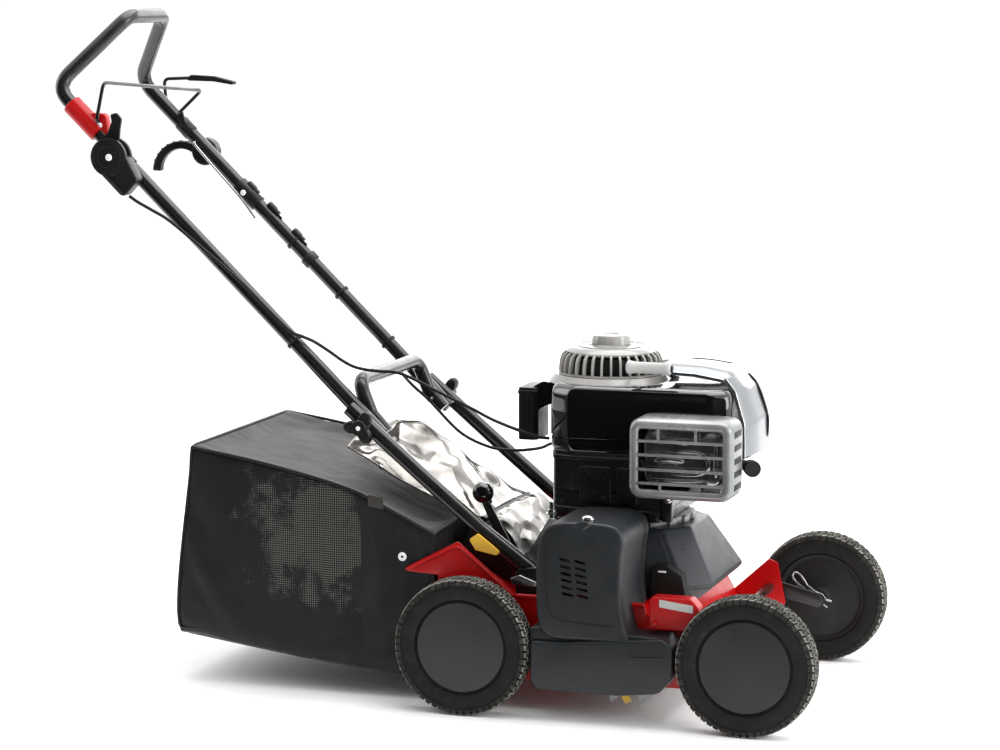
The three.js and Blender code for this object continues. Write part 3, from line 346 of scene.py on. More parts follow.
def slab(outline, low, high, along="y"):
    """A flat outline with a thickness. Its points are (x, z) along y, (x, y) along z and (y, z) along x."""
    place = PLANES[along]
    count = len(outline)
    points = [place(u, v, w) for w in (low, high) for u, v in outline]
    return points, ring_faces(2, count)


def block(x0, x1, y0, y1, z0, z1):
    return slab([(x0, z0), (x1, z0), (x1, z1), (x0, z1)], y0, y1)


def loft(rings, caps=True):
    """A shape through rings of points that all have the same number of points."""
    points = [point for ring in rings for point in ring]
    return points, ring_faces(len(rings), len(rings[0]), caps=caps)


def rounded(corners, radius, steps=6, closed=True):
    """Corner points replaced by arcs; the radius is one number, or one for each corner."""
    points = [Vector(corner) for corner in corners]
    count = len(points)
    radii = radius if isinstance(radius, list) else [radius] * count
    route = []
    for i, corner in enumerate(points):
        if not closed and i in (0, count - 1):
            route.append(corner)
            continue
        back = points[i - 1] - corner
        ahead = points[(i + 1) % count] - corner
        angle = back.angle(ahead)
        if radii[i] <= 0 or angle > math.pi - 0.02:
            route.append(corner)
            continue
        reach = min(radii[i] / math.tan(angle / 2), back.length * 0.48, ahead.length * 0.48)
        start = corner + back.normalized() * reach
        end = corner + ahead.normalized() * reach
        for step in range(steps + 1):
            t = step / steps
            route.append(start * (1 - t) ** 2 + corner * 2 * t * (1 - t) + end * t * t)
    return route


def bent(corners, radius, steps=8, closed=False):
    """A route in metres through corners in mm, with round bends."""
    return [mm(*point) for point in rounded(corners, radius, steps, closed)]


def threaded(corners, spacing=6):
    """A smooth route in metres through all the given points."""
    points = [Vector(corner) for corner in corners]
    points = [points[0] * 2 - points[1], *points, points[-1] * 2 - points[-2]]
    route = []
    for a, b, c, d in zip(points, points[1:], points[2:], points[3:]):
        steps = max(2, round((c - b).length / spacing))
        for step in range(steps):
            t = step / steps
            route.append(0.5 * (2 * b + (c - a) * t + (2 * a - 5 * b + 4 * c - d) * t * t
                                + (3 * b - a - 3 * c + d) * t ** 3))
    route.append(points[-2])
    return [mm(*point) for point in route]


def merged(*shapes):
    points, faces = [], []
    for shape_points, shape_faces in shapes:
        start = len(points)
        points.extend(shape_points)
        faces.extend(tuple(start + i for i in face) for face in shape_faces)
    return points, faces


def as_bmesh(shape):
    made = bmesh.new()
    verts = [made.verts.new(point) for point in shape[0]]
    for face in shape[1]:
        made.faces.new([verts[i] for i in face])
    bmesh.ops.remove_doubles(made, verts=made.verts, dist=1e-6)
    bmesh.ops.recalc_face_normals(made, faces=made.faces)
    return made


def as_shape(made):
    made.verts.index_update()
    shape = ([v.co.copy() for v in made.verts], [tuple(v.index for v in f.verts) for f in made.faces])
    made.free()
    return shape


def softened(shape, width, segments=3, angle=28):
    """The shape with its sharp edges rounded over."""
    made = as_bmesh(shape)
    limit = math.radians(angle)
    sharp = [e for e in made.edges if len(e.link_faces) == 2 and e.calc_face_angle() > limit]
    bmesh.ops.bevel(made, geom=sharp, offset=width / 1000, offset_type="OFFSET", segments=segments,
                    profile=0.5, affect="EDGES", clamp_overlap=True)
    return as_shape(made)


def hull(points):
    made = bmesh.new()
    for point in points:
        made.verts.new(point)
    bmesh.ops.convex_hull(made, input=made.verts)
    loose = [v for v in made.verts if not v.link_faces]
    bmesh.ops.delete(made, geom=loose, context="VERTS")
    bmesh.ops.dissolve_limit(made, angle_limit=0.02, verts=made.verts, edges=made.edges)
    return as_shape(made)


def temporary(shape):
    made = as_bmesh(shape)
    mesh = bpy.data.meshes.new("temporary")
    made.to_mesh(mesh)
    made.free()
    thing = bpy.data.objects.new("temporary", mesh)
    scene.collection.objects.link(thing)
    return thing


def carved(shape, *cutters):
    """The shape with the cutters taken out of it."""
    body = temporary(shape)
    tools = [temporary(cutter) for cutter in cutters]
    for tool in tools:
        cut = body.modifiers.new("cut", "BOOLEAN")
        cut.operation = "DIFFERENCE"
        cut.solver = "EXACT"
        cut.object = tool
    result = bmesh.new()
    result.from_object(body, bpy.context.evaluated_depsgraph_get())
    for thing in [body, *tools]:
        mesh = thing.data
        bpy.data.objects.remove(thing)
        bpy.data.meshes.remove(mesh)
    return as_shape(result)


def swelling(count, least, gain, power):
    """Radii for a bead that is thin at both ends and thick in the middle."""
    return [least + gain * math.sin(math.pi * i / (count - 1)) ** power for i in range(count)]


def thin_sheet(top, under, columns):
    """A closed sheet from two layers of points, given row by row with one more point than columns in each."""
    across = columns + 1
    last = len(top) // across - 1
    faces = [(r * across + k, r * across + k + 1, (r + 1) * across + k + 1, (r + 1) * across + k)
             for r in range(last) for k in range(columns)]
    count = len(top)
    edge = (list(range(across))
            + [r * across + columns for r in range(1, last + 1)]
            + [last * across + k for k in range(columns - 1, -1, -1)]
            + [r * across for r in range(last - 1, 0, -1)])
    wall = [(a, b, b + count, a + count) for a, b in zip(edge, edge[1:] + edge[:1])]
    return top + under, faces + [tuple(k + count for k in face) for face in faces] + wall


class Piece:
    """One visible piece: its shapes, each with a finish, joined into one mesh."""

    def __init__(self, name):
        self.name = name
        self.mesh = bmesh.new()
        self.finishes = []

    def add(self, shape, material):
        if material not in self.finishes:
            self.finishes.append(material)
        made = as_bmesh(shape)
        for face in made.faces:
            face.smooth = True
            face.material_index = self.finishes.index(material)
        carrier = bpy.data.meshes.new("carrier")
        made.to_mesh(carrier)
        made.free()
        self.mesh.from_mesh(carrier)
        bpy.data.meshes.remove(carrier)
        return self

    def place(self, body=None, stands_for=(), slot=None, angle=38):
        mesh = bpy.data.meshes.new(self.name)
        self.mesh.to_mesh(mesh)
        self.mesh.free()
        for material in self.finishes:
            mesh.materials.append(material)
        mesh.set_sharp_from_angle(angle=math.radians(angle))
        thing = bpy.data.objects.new(self.name, mesh)
        scene.collection.objects.link(thing)
        if body:
            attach(thing, body)
        if stands_for:
            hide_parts(*stands_for)
        return thing


def dome_screw(piece, centre, axis, radius, height, material=STEEL, recess="cross"):
    """A domed screw head with a drive recess."""
    profile = [(radius, 0), (radius, height * 0.3), (radius * 0.86, height * 0.7),
               (radius * 0.55, height * 0.95),
               (0, height)]
    head = lathe(profile, centre, axis, 28)
    out = Vector(axis).normalized()
    across = out.orthogonal().normalized()
    if recess == "cross":
        other = out.cross(across)
        tip = centre + out * height / 1000
        bars = []
        for u, v in ((across, other), (other, across)):
            corners = []
            for depth in (-0.45, 0.3):
                for a, b in ((-1, -1), (1, -1), (1, 1), (-1, 1)):
                    offset = (u * a * 0.5 + v * b * 0.12) * radius / 1000
                    corners.append(tip + offset + out * depth * height / 1000)
            bars.append((corners, ring_faces(2, 4)))
        head = carved(head, *bars)
    piece.add(head, material)


def hex_bolt(piece, centre, axis, across, height, material=STEEL, washer=True):
    """A six-sided bolt head or nut on its washer."""
    if washer:
        piece.add(lathe([(0, 0), (across * 0.72, 0), (across * 0.72, 1.2), (0, 1.2)], centre, axis, 28),
                  material)
    head = lathe([(0, 1), (across * 0.577, 1), (across * 0.577, height), (0, height)], centre, axis, 6)
    piece.add(softened(head, 0.5, 2), material)


# ---- wheels ----
TREAD_ROWS = ((-14.6, 4.7), (-4.9, 3.9), (4.9, 3.9), (14.6, 4.7))
BLOCKS = 58


def tread_block(centre, out, angle, across, half_width, shift):
    """One raised block of the tread with a slant along the way it rolls: its body, its top, and a band round
    the top's edge that is coloured pale as a painted highlight.
    """
    shoulder = abs(across) > 10
    shapes = []
    for levels in (((93.5, 1.0), (98.8, 0.92)), ((98.6, 0.92), (99.8, 0.84)), ((99.6, 0.7), (100.0, 0.7))):
        points = []
        for radius, shrink in levels:
            for u, v in ((-1, -1), (1, -1), (1, 1), (-1, 1)):
                reach = across + v * half_width * shrink
                away = radius
                if shoulder and v * across > 0:
                    away = radius - 1.4 if radius > 95 else 91.0
                    reach = math.copysign(20.3 - (1 - shrink) * 9, across)
                turn = angle + (u * 4.1 * shrink + v * shift) / 100
                radial = Vector((math.cos(turn), 0, math.sin(turn)))
                points.append(centre + radial * away / 1000 + out * reach / 1000)
        shapes.append((points, ring_faces(2, 4)))
    return shapes


def wheel(place, cap_finish):
    low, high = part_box(f"tyre_{place}")
    centre = (low + high) / 2
    side = math.copysign(1, centre.y)
    out = Vector((0, side, 0))
    flank = [(68.8, 15.2), (69.6, 18.2), (72.5, 19.6), (80, 20.2), (87.4, 20.1), (88.2, 19.3), (89.6, 19.3),
             (90.4, 20.0), (92.4, 19.6), (94.6, 18.0), (95.6, 15.5)]
    casing = flank + [(r, -h) for r, h in reversed(flank)]
    tyre = Piece(f"tread_{place}")
    tyre.add(lathe(casing + casing[:1], centre, out, 96), RUBBER)
    blocks = []
    for row, (across, half_width) in enumerate(TREAD_ROWS):
        for i in range(BLOCKS):
            angle = math.tau * (i + 0.5 * (row % 2)) / BLOCKS
            blocks.append(tread_block(centre, out, angle, across, half_width, 1.3 if row % 2 else -1.3))
    tyre.add(merged(*[shape for block_shapes in blocks for shape in block_shapes[::2]]), TREAD)
    # the band round each block's top is painted pale, a painted highlight along the block edges
    tyre.add(merged(*[block_shapes[1] for block_shapes in blocks]), TREAD_HIGHLIGHT_BAND)
    tyre.place(f"wheel_{place}", [f"tyre_{place}"], "tyre", angle=30)

    rim = Piece(f"hub_{place}")
    face = [(0, 18.2), (40, 18.0), (64.6, 17.8), (65.6, 16.6), (65.6, 14.0), (0, 14.0)]
    rim.add(lathe(face, centre, out, 96), cap_finish)
    edge = [(65.7, 16.2), (66.4, 15.8), (67.4, 18.0), (69.0, 16.8), (69.0, 14.0), (65.7, 14.0), (65.7, 16.2)]
    rim.add(lathe(edge, centre, out, 96), RUBBER)
    back = [(6.8, -18.4), (7.4, -19.2), (11.6, -19.2), (13.4, -18.2), (16, -14.2), (19, -13.2), (60, -12.6),
            (62.6, -15.4), (66.8, -17.0), (69.0, -15.4), (69.0, 13.9), (6.8, 13.9), (6.8, -18.4)]
    rim.add(lathe(back, centre, out, 80), SOFT)
    rim.place(f"wheel_{place}", [f"rim_{place}"], "hub")


for place in ("front_right", "front_left"):
    wheel(place, HUB_FRONT)
for place in ("rear_right", "rear_left"):
    wheel(place, HUB_REAR)

axle = Piece("rear_axle_bar")
axle.add(lathe([(5, -261), (6, -260), (6, 260), (5, 261)], mm(0, 0, 100), (0, 1, 0), 32), STEEL)
axle.place("chassis", ["rear_axle"], "bright_steel")

front = Piece("front_axle_crank")
front.add(lathe([(7, -212), (7, 212)], mm(345, 0, 118), (0, 1, 0), 32), TUBE)
arm = rounded([(335, 114), (341, 129), (351, 130), (423, 111), (428, 100), (421, 90), (343, 107)], 6)
for side in (-1, 1):
    near, far = sorted((side * 204, side * 211))
    front.add(softened(slab(arm, near, far), 1.2), TUBE)
    front.add(lathe([(6, side * 205), (6, side * 260), (5, side * 261)], mm(417, 0, 100), (0, 1, 0), 32),
              STEEL)
    front.add(lathe([(12, side * 211), (12, side * 213), (10, side * 214.5), (6, side * 214.5)],
                    mm(417, 0, 100),
                    (0, 1, 0), 32), TUBE)
front.place("front_axle", ["front_axle"], "tube_black")

clip_slope = math.atan2(15, -20)


def clip_point(along, off):
    return (417 + along * math.cos(clip_slope) + off * math.sin(clip_slope), 217,
            100 + along * math.sin(clip_slope) - off * math.cos(clip_slope))


clip = Piece("axle_hairpin")
clip_route = [(-19, 0), (44, 0), (54, 3), (54, 12), (44, 13), (26, 7), (10, 7), (0, 10.5), (-10, 8),
              (-18, 12)]
clip.add(sweep(bent([clip_point(*p) for p in clip_route], 6), 1.6, 12), STEEL)
clip.place("front_axle", ["axle_clip"], "bright_steel")


# ---- deck ----
deck = Piece("pressed_deck")
outside = [(300, 50), (298, 100), (274, 142), (246, 158), (40, 158), (-30, 196), (-58, 203)]
inside = [(-58, 200), (-31, 193), (39, 155), (245, 155), (271.5, 140), (295, 99), (297, 50)]
shell = rounded(outside, [0, 16, 16, 14, 22, 18, 0]) + rounded(inside, [0, 16, 20, 12, 14, 14, 0])
deck.add(softened(slab(shell, -198.5, 198.5), 0.8, 2), RED)
lower = rounded([(-58, 203), (-58, 112), (130, 112), (152, 50), (300, 50), (298, 100), (274, 142), (246, 158),
                 (40, 158),
                 (-30, 196)], [0, 0, 0, 0, 0, 16, 16, 14, 22, 18])
for side in (-1, 1):
    near, far = sorted((side * 195.5, side * 198.5))
    deck.add(softened(slab(lower, near, far), 0.6, 2), RED)
deck.add(block(-58, 132, -197, 197, 111.5, 114), RED)
deck.add(softened(sweep(bent([(299, -198, 50), (299, 198, 50)], 1), 3.2, 12), 0.1), RED)
deck.place("chassis", ["deck"], "red_paint")

rear_part = [(60, 44), (-16, 78), (-22, 120), (-34, 184), (-60, 190), (-116, 193), (-26, 241), (62, 168)]
left_outline = rear_part + [(262, 166), (280, 105), (343, 163), (357, 158), (370, 95), (330, 48)]
right_outline = rear_part + [(256, 166), (256, 134), (366, 134), (370, 95), (330, 48)]
for name, plan, near, far in (("left", left_outline, 199, 202), ("right", right_outline, -202, -199)):
    plate = Piece(f"side_plate_{name}_pressing")
    outline = rounded(plan, 5, 4)
    plate.add(softened(slab(outline, near, far), 0.9, 2), RED)
    side = math.copysign(1, near)
    face = side * 202
    rim_route = [(64, face, 166.6), (70, face, 167), (150, face, 166.5), (254, face, 165)]
    plate.add(sweep(bent(rim_route, 4), 3.4, 14), RED)
    fold_line = [(-104, face, 194.5), (-30, face, 233), (-20, face, 231), (58, face, 166)]
    plate.add(sweep(bent(fold_line, 10), 2.2, 12), RED)
    for x, z in ((8, 148), (40, 120), (300, 108), (340, 76)):
        hex_bolt(plate, mm(x, face, z), (0, side, 0), 9, 5, STEEL)
    plate.place("chassis", [f"side_plate_{name}"], "red_paint")

front_box = Piece("front_height_box")
box_side = rounded([(269, 137), (269, 184), (330, 184), (342, 170), (342, 137)], [3, 7, 10, 8, 3])
front_box.add(softened(slab(box_side, -229, -202.4), 5.5, 5), RED)
front_box.add(sweep(bent([(271, -226, 177), (330, -226, 177), (339, -226, 166), (339, -226, 142)], 8), 1.5,
                    10), RED)
label = rounded([(284, 170), (284, 181), (333, 175), (333, 164)], 1.2, 3)
front_box.add(slab(label, -229.5, -228.6), PALE)
hex_bolt(front_box, mm(278, -229, 146), (0, -1, 0), 8, 4, RED, washer=False)
front_box.place("chassis", ["height_box"], "red_paint")

chute = Piece("chute_housing")
chute_side = rounded([(-57, 205), (-29, 198), (42, 159), (68, 159), (6, 246), (-14, 250), (-32, 248)],
                     [2, 6, 6, 4, 12, 8, 6])
chute.add(softened(slab(chute_side, -116, 116), 4, 4), BLACK)
for y in (-118, -60, 0, 60, 118):
    rib = [(-44, 210), (-30, 232), (-8, 250.5), (10, 247.5), (66, 164), (62, 162), (6, 240)]
    if abs(y) < 110:
        chute.add(softened(slab(rib, y - 1.5, y + 1.5), 0.6, 2), BLACK)
chute.add(lathe([(6, -111), (6, -116), (0, -116)], mm(-17, 0, 258), (0, 1, 0), 24), BLACK)
chute.place("chassis", ["rear_chute_cover"], "black_plastic")


# ---- gear tower and ring ----
def tower_section(rear, front, half, z, corner):
    plan = [(front, -half + corner), (front, half - corner), (front - corner, half), (rear + corner, half),
            (rear, half - corner), (rear, -half + corner), (rear + corner, -half), (front - corner, -half)]
    return [mm(x, y, z) for x, y in plan]


tower = Piece("gear_tower_casting")
upper = hull(tower_section(66, 284, 88, 255, 34) + tower_section(28, 328, 126, 178, 34))
tower.add(softened(upper, 3.2, 4, 12), TOWER)
skirt = hull(tower_section(28, 328, 126, 178.4, 34) + tower_section(31, 325, 123, 172, 33)
             + tower_section(60, 272, 100, 128, 30))
tower.add(softened(skirt, 2.4, 3, 12), TOWER)
slot_block = rounded([(244, 160), (244, 208), (268, 211), (292, 196), (300, 160)], 4)
tower.add(softened(slab(slot_block, -133, -100), 6, 5), SOFT)
tower.add(softened(block(256, 268, -134.2, -132.6, 200, 202.6), 0.5, 2), WHITE)
for side in (-1, 1):
    panel = [(96, 250), (246, 250), (282, 186), (64, 186)]
    rows = []
    for u, z in panel:
        y = side * (88 + 38 * (255 - z) / 77 + 0.9)
        rows.append(mm(u, y, z))
    inner = [p - Vector((0, side * 0.003, 0)) for p in rows]
    tower.add(softened((inner + rows, ring_faces(2, 4)), 0.9, 3), TOWER)
tower.place("chassis", ["gear_tower"], "grey_cover")

TEETH = 20
notched = []
for i in range(TEETH):
    for part, radius in ((0.03, 106), (0.47, 106), (0.53, 101), (0.97, 101)):
        angle = math.tau * (i + part) / TEETH
        notched.append((168 + radius * math.cos(angle), radius * math.sin(angle)))
ring = Piece("engine_ring")
bore = lathe([(0, 240), (60, 240), (60, 280), (0, 280)], mm(168, 0, 0), (0, 0, 1), 48)
ring.add(softened(carved(slab(notched, 255.4, 265.1, "z"), bore), 0.7, 2), CAST)
ring.place("chassis", ["mounting_ring"], "cast_metal")


# ---- belt cover ----
def bezier(a, b, c, d, steps=14):
    return [
        tuple((1 - t) ** 3 * p + 3 * t * (1 - t) ** 2 * q + 3 * t * t * (1 - t) * r + t ** 3 * s
              for p, q, r, s in zip(a, b, c, d))
        for t in (i / steps for i in range(steps + 1))
    ]


bell = (bezier((140, 120), (116, 124), (112, 140), (111, 170))
        + bezier((111, 170), (109, 230), (110, 262), (124, 279))[1:]
        + bezier((124, 279), (134, 291), (160, 290.5), (190, 290.5))[1:]
        + bezier((190, 290.5), (226, 290.5), (238, 288), (240, 262))[1:]
        + bezier((240, 262), (234, 230), (231, 160), (250, 120))[1:])
cover = Piece("belt_cover_moulding")
vents = []
for row in range(6):
    for column in range(2):
        x = 146 + column * 22 + row * 0.9
        z = 235.5 - row * 9.8 - column * 1.5
        slot_plan = rounded([(x, z - 0.5), (x + 16.5, z - 3.7), (x + 16.5, z + 0.2), (x, z + 3.4)], 1.2, 3)
        vents.append(slab(slot_plan, -275, -250))
outer = softened(slab(bell, -262, -122), 15, 7, 40)
hollow = softened(slab([(182 + (x - 182) * 0.93, z - 4) for x, z in bell], -258, -90), 9, 3, 40)
scoop = lathe([(0, -24), (5, -24), (10, 0), (13, 24), (0, 24)], mm(168, -272, 279), (0.66, 0.25, 0.7), 32)
shell = carved(outer, scoop, hollow, *vents)
cover.add(shell, GREY)
# the grooves of the cover, on its face and the two on its flank, are drawn as thin raised beads in the darker
# soft_black finish; their darker colour is painted shade, standing in for the shade inside the grooves
face = -262.3
groove_points = [(150, 284), (134, 274), (127, 250), (126, 210), (129, 170), (140, 152), (180, 146),
                 (222, 144)]
cover.add(sweep(threaded([(x, face, z) for x, z in groove_points], 3), 0.9, 10), SOFT)
for back in (-150, -140):
    line = [(236, back, 279), (239.5, back, 262), (236.3, back, 230), (235.4, back, 190), (240, back, 150)]
    cover.add(sweep(threaded(line, 3), 1.5, 10), SOFT)
skirt_side = rounded([(103, 116), (103, 60), (112, 47), (232, 45), (292, 52), (313, 76), (313, 118),
                      (298, 131),
                      (266, 128), (150, 117)], [6, 8, 8, 20, 20, 16, 14, 8, 30, 30])
cover.add(softened(slab(skirt_side, -265, -202.4), 4.5, 5), GREY)
step = rounded([(99, 134), (99, 112), (118, 108), (262, 112), (302, 114), (300, 130), (262, 132), (118, 136)],
               6)
cover.add(softened(slab(step, -256, -203), 6, 4), GREY)
cover.add(sweep(bent([(252, -265.2, 103), (300, -265.2, 106)], 4), 0.9, 10), SOFT)
cover.add(sweep(bent([(106, -262.5, 62), (114, -262.5, 50), (232, -262.5, 48), (290, -262.5, 55)], 14), 1.6,
                12), PALE)
for x in (205, 248):
    fin = [(x - 2, 58), (x + 34, 60), (x + 24, 38), (x + 1, 20)]
    cover.add(softened(slab(fin, -206, -203), 0.6, 2), CAST)
cover.add(softened(slab([(214, 46), (224, 46), (238, 26), (228, 20)], -206, -203), 1, 2), YELLOW)
cover.place("chassis", ["belt_cover"], "grey_cover")

screw = Piece("cover_dome_screw")
profile = [(9, 290.9), (9, 292.4), (8.4, 294.4), (6.5, 296.4), (3.5, 297.5), (0, 297.7), (0, 290.9)]
screw.add(lathe(profile, mm(181, -236, 0), (0, 0, 1), 40), STEEL)
screw.place("chassis", ["cover_screw"], "bright_steel")


# ---- engine ----
def plan_ring(corners, radius, z, inset=0.0):
    middle = 210
    ring = rounded(corners, radius, 6)
    return [mm(middle + (p.x - middle) * (1 - inset / 140), p.y * (1 - inset / 100), z) for p in ring]


crank_plan = [(74, -56), (86, -92), (120, -102), (292, -102), (306, -88), (306, 88), (292, 102), (120, 102),
              (86, 92),
              (74, 56)]
sump_plan = [(74, -56), (86, -92), (120, -102), (248, -102), (256, -92), (256, 92), (248, 102), (120, 102),
             (86, 92),
             (74, 56)]
engine = Piece("crankcase")
engine.add(softened(slab(rounded(sump_plan, 10, 4), 265.5, 310, "z"), 2.5, 3), ENAMEL)
engine.add(softened(slab(rounded(crank_plan, 10, 4), 303, 365.6, "z"), 2.5, 3), ENAMEL)
for plan, z in ((sump_plan, 276), (crank_plan, 352)):
    band = [(190 + (x - 190) * 1.012, y * 1.018) for x, y in plan]
    engine.add(softened(slab(rounded(band, 10, 4), z, z + 7, "z"), 2, 3), ENAMEL)
engine.add(softened(block(252, 268, -104, -92, 268, 303), 3, 3), ENAMEL)
hex_bolt(engine, mm(262, -106, 300), (0, -0.4, 1), 9, 7, STEEL)
for x0, x1, z0, z1 in ((128, 176, 290, 345), (184, 216, 290, 345)):
    panel = rounded([(x0, z0), (x1, z0), (x1, z1), (x0, z1)], 6)
    engine.add(softened(slab(panel, -104.6, -98), 1.6, 3), ENAMEL)
    engine.add(softened(slab(panel, 98, 104.6), 1.6, 3), ENAMEL)
for z in (300, 312, 324, 336):
    engine.add(softened(block(71.5, 78, -50, 50, z, z + 4), 1, 2), ENAMEL)
engine.add(lathe([(7, 0), (7, 5), (5, 6), (0, 6)], mm(166, -101, 296), (0, -1, 0), 32), ENAMEL)
for x, y in ((82, -50), (82, 50), (248, 88), (120, -98)):
    hex_bolt(engine, mm(x, y, 272), (0, 0, 1), 10, 8, STEEL)
engine.add(lathe([(3, 0), (3, 24), (0, 24)], mm(82, -50, 262), (0, 0, 1), 20), STEEL)
engine.place("chassis", ["engine_block"], "engine_black")

housing_plan = [(68, -40), (76, -78), (112, -104), (326, -104), (350, -84), (350, 84), (326, 104), (112, 104),
                (76, 78),
                (68, 40)]
housing = Piece("blower_housing_shell")
levels = [(366, 2.0), (372, 0.6), (381, 0.6), (382, 2.2), (384.5, 2.2), (385.5, 0.2), (420, 0), (446, 0.8),
          (455, 3.0),
          (460, 7.0), (462, 13.0)]
housing.add(loft([plan_ring(housing_plan, 22, z, inset) for z, inset in levels]), GLOSS)
collar = [(92, 458), (89, 462), (86.5, 465), (84, 468), (82.5, 469.9), (60, 469.9), (60, 458)]
housing.add(lathe(collar, mm(146, 0, 0), (0, 0, 1), 96), SATIN)
housing.place("chassis", ["blower_housing"], "gloss_black")

dome = Piece("recoil_slats")
dome_z = 470.4
UP = (0, 0, 1)
top = [(67, 33), (64, 36), (54, 39.4), (40, 42), (38, 42), (38, 38), (53, 35), (63, 31), (65, 30), (67, 33)]
dome.add(lathe([(r, h) for r, h in top], mm(146, 0, dome_z), UP, 96), SATIN)
base = [(78, 0), (78, 2), (75, 3), (72, 2), (72, 0), (78, 0)]
dome.add(lathe(base, mm(146, 0, dome_z), UP, 96), SATIN)
cap = [(40, 38), (40, 42.2), (29, 43), (28, 52), (26.5, 55.5), (23, 57), (12, 57.4), (11, 56.2), (0, 56.2),
       (0, 38)]
dome.add(lathe(cap, mm(146, 0, dome_z), UP, 96), SATIN)
for radius, height in ((50, 40.2), (34, 42.8)):
    seam = [(radius - 1.4, height), (radius, height + 1.0), (radius + 1.4, height - 0.2),
            (radius, height - 1.4),
            (radius - 1.4, height)]
    dome.add(lathe(seam, mm(146, 0, dome_z), UP, 96), GLOSS)
SLATS = 34
for i in range(SLATS):
    angle = math.tau * i / SLATS
    along = Vector((math.cos(angle), math.sin(angle), 0))
    across = Vector((-along.y, along.x, 0))
    side_line = [(77.6, 2.5), (77.4, 10), (76.2, 19), (73.4, 27.5), (67, 32.5), (60, 35.5)]
    rows = []
    for radius, height in side_line:
        spot = mm(146, 0, dome_z) + Vector((0, 0, height / 1000))
        rows.append([spot + along * (radius - inward) / 1000 + across * w / 1000
                     for inward, w in ((0, -1.7), (0, 1.7), (7, 1.4), (7, -1.4))])
    dome.add(softened(loft(rows), 0.6, 2, 40), SATIN)
dome.add(lathe([(0, 3), (68, 3), (67, 24), (58, 31), (0, 34)], mm(146, 0, dome_z), UP, 64), SOFT)
dome.add(lathe([(0, 8), (70, 8), (70, 9), (0, 9)], mm(146, 0, dome_z), UP, 48), SOFT)
dome.place("chassis", ["recoil_cover"], "black_plastic")

pull = Piece("pull_grip")
grip = [(0, -1), (6, -1), (9.4, 1), (10, 4), (9.2, 8), (8.4, 12), (8.4, 52), (9.2, 57), (10, 61), (9.4, 64),
        (6, 66),
        (0, 66)]
pull.add(lathe(grip, mm(198, -97, 492), (1, 0, 0), 40), PALE)
pull.add(lathe([(0, 66), (6, 66), (5, 68), (0, 68.4)], mm(198, -97, 492), (1, 0, 0), 32), BLACK)
pull.add(sweep(bent([(205, -90, 492), (205, -40, 492), (205, 18, 492)], 5), 2.0, 12), SOFT)
pull.add(lathe([(5, 0), (6, 2), (5, 8), (0, 8)], mm(205, -84, 492), (0, 1, 0), 20), BLACK)
pull.place("recoil_handle", ["recoil_handle"], "pale_grey")

cowl = Piece("silver_cowl_shell")
crest = [Vector(p) for p in rounded([(238, 493), (292, 491), (340, 484), (362, 460), (378, 414), (379, 366)],
                                    [0, 30, 26, 26, 30, 0], 6, closed=False)]
COLUMNS = 24
rows = []
for point in crest:
    narrowing = min(1, max(0, (493 - point.y) / 90))
    half = 50 + 22 * narrowing ** 0.6
    row = []
    for k in range(COLUMNS + 1):
        share = 2 * k / COLUMNS - 1
        drop = 12 * abs(share) ** 3.2
        slope = Vector((-0.25, -1)) if point.x < 345 else Vector((-1, -0.15))
        row.append(mm(point.x + slope.x * drop, share * half, point.y + slope.y * drop))
    rows.append(row)
sheet_points = [p for row in rows for p in row]
inner_points = [p + Vector((-0.0035, 0, -0.0035)) for p in sheet_points]
cowl.add(thin_sheet(sheet_points, inner_points, COLUMNS), SILVER)
trim = [rows[r][0] for r in range(len(rows))]
cowl.add(sweep(trim, 1.8, 12), STEEL)
far_trim = [rows[r][COLUMNS] for r in range(len(rows))]
cowl.add(sweep(far_trim, 1.8, 12), STEEL)
front_arc = threaded([(349, 26, 475), (362, 26, 458), (372, 26, 432), (378.4, 26, 408), (379.4, 26, 380)], 3)
cowl.add(sweep(front_arc, swelling(len(front_arc), 0.6, 2.6, 0.7), 12), GLOSS)
top_line = threaded([(256, 54, 489), (286, 54, 488), (318, 54, 484)], 3)
cowl.add(sweep(top_line, 1.0, 10), GLOSS)
cowl.place("chassis", ["engine_cowl"], "silver_cowl")

airbox = Piece("rear_air_box")
air_plan = [(11, -32), (36, -32), (41, -26), (41, 26), (36, 32), (11, 32)]
airbox.add(softened(slab(rounded(air_plan, 5, 4), 367, 446, "z"), 3, 4), BLACK)
airbox.add(softened(slab(rounded([(x + (x - 26) * 0.06, y * 1.04) for x, y in air_plan], 5, 4), 436, 442,
                         "z"), 1.6, 3),
           BLACK)
for y in range(-24, 25, 8):
    airbox.add(softened(block(9.6, 13, y - 1.5, y + 1.5, 372, 432), 0.8, 2), BLACK)
for x in (18, 26, 34):
    airbox.add(softened(block(x - 1.5, x + 1.5, -33.6, -30, 372, 432), 0.8, 2), BLACK)
arm_side = rounded([(30, 404), (30, 446), (48, 456), (67.4, 452), (67.4, 424), (50, 418)],
                   [4, 10, 12, 6, 8, 12])
airbox.add(softened(slab(arm_side, -24, 24), 5, 5), GLOSS)
airbox.place("chassis", ["air_filter_box"], "black_plastic")

guard = Piece("muffler_cage")
CAGE = (219, 372, 312, 428)


def cage_ring(inset, y, corner=20):
    x0, x1, z0, z1 = CAGE
    corners = [(x0 + inset, z0 + inset), (x1 - inset, z0 + inset), (x1 - inset, z1 - inset),
               (x0 + inset, z1 - inset)]
    return [mm(p.x, y, p.y) for p in rounded(corners, max(corner - inset, 3), 8)]


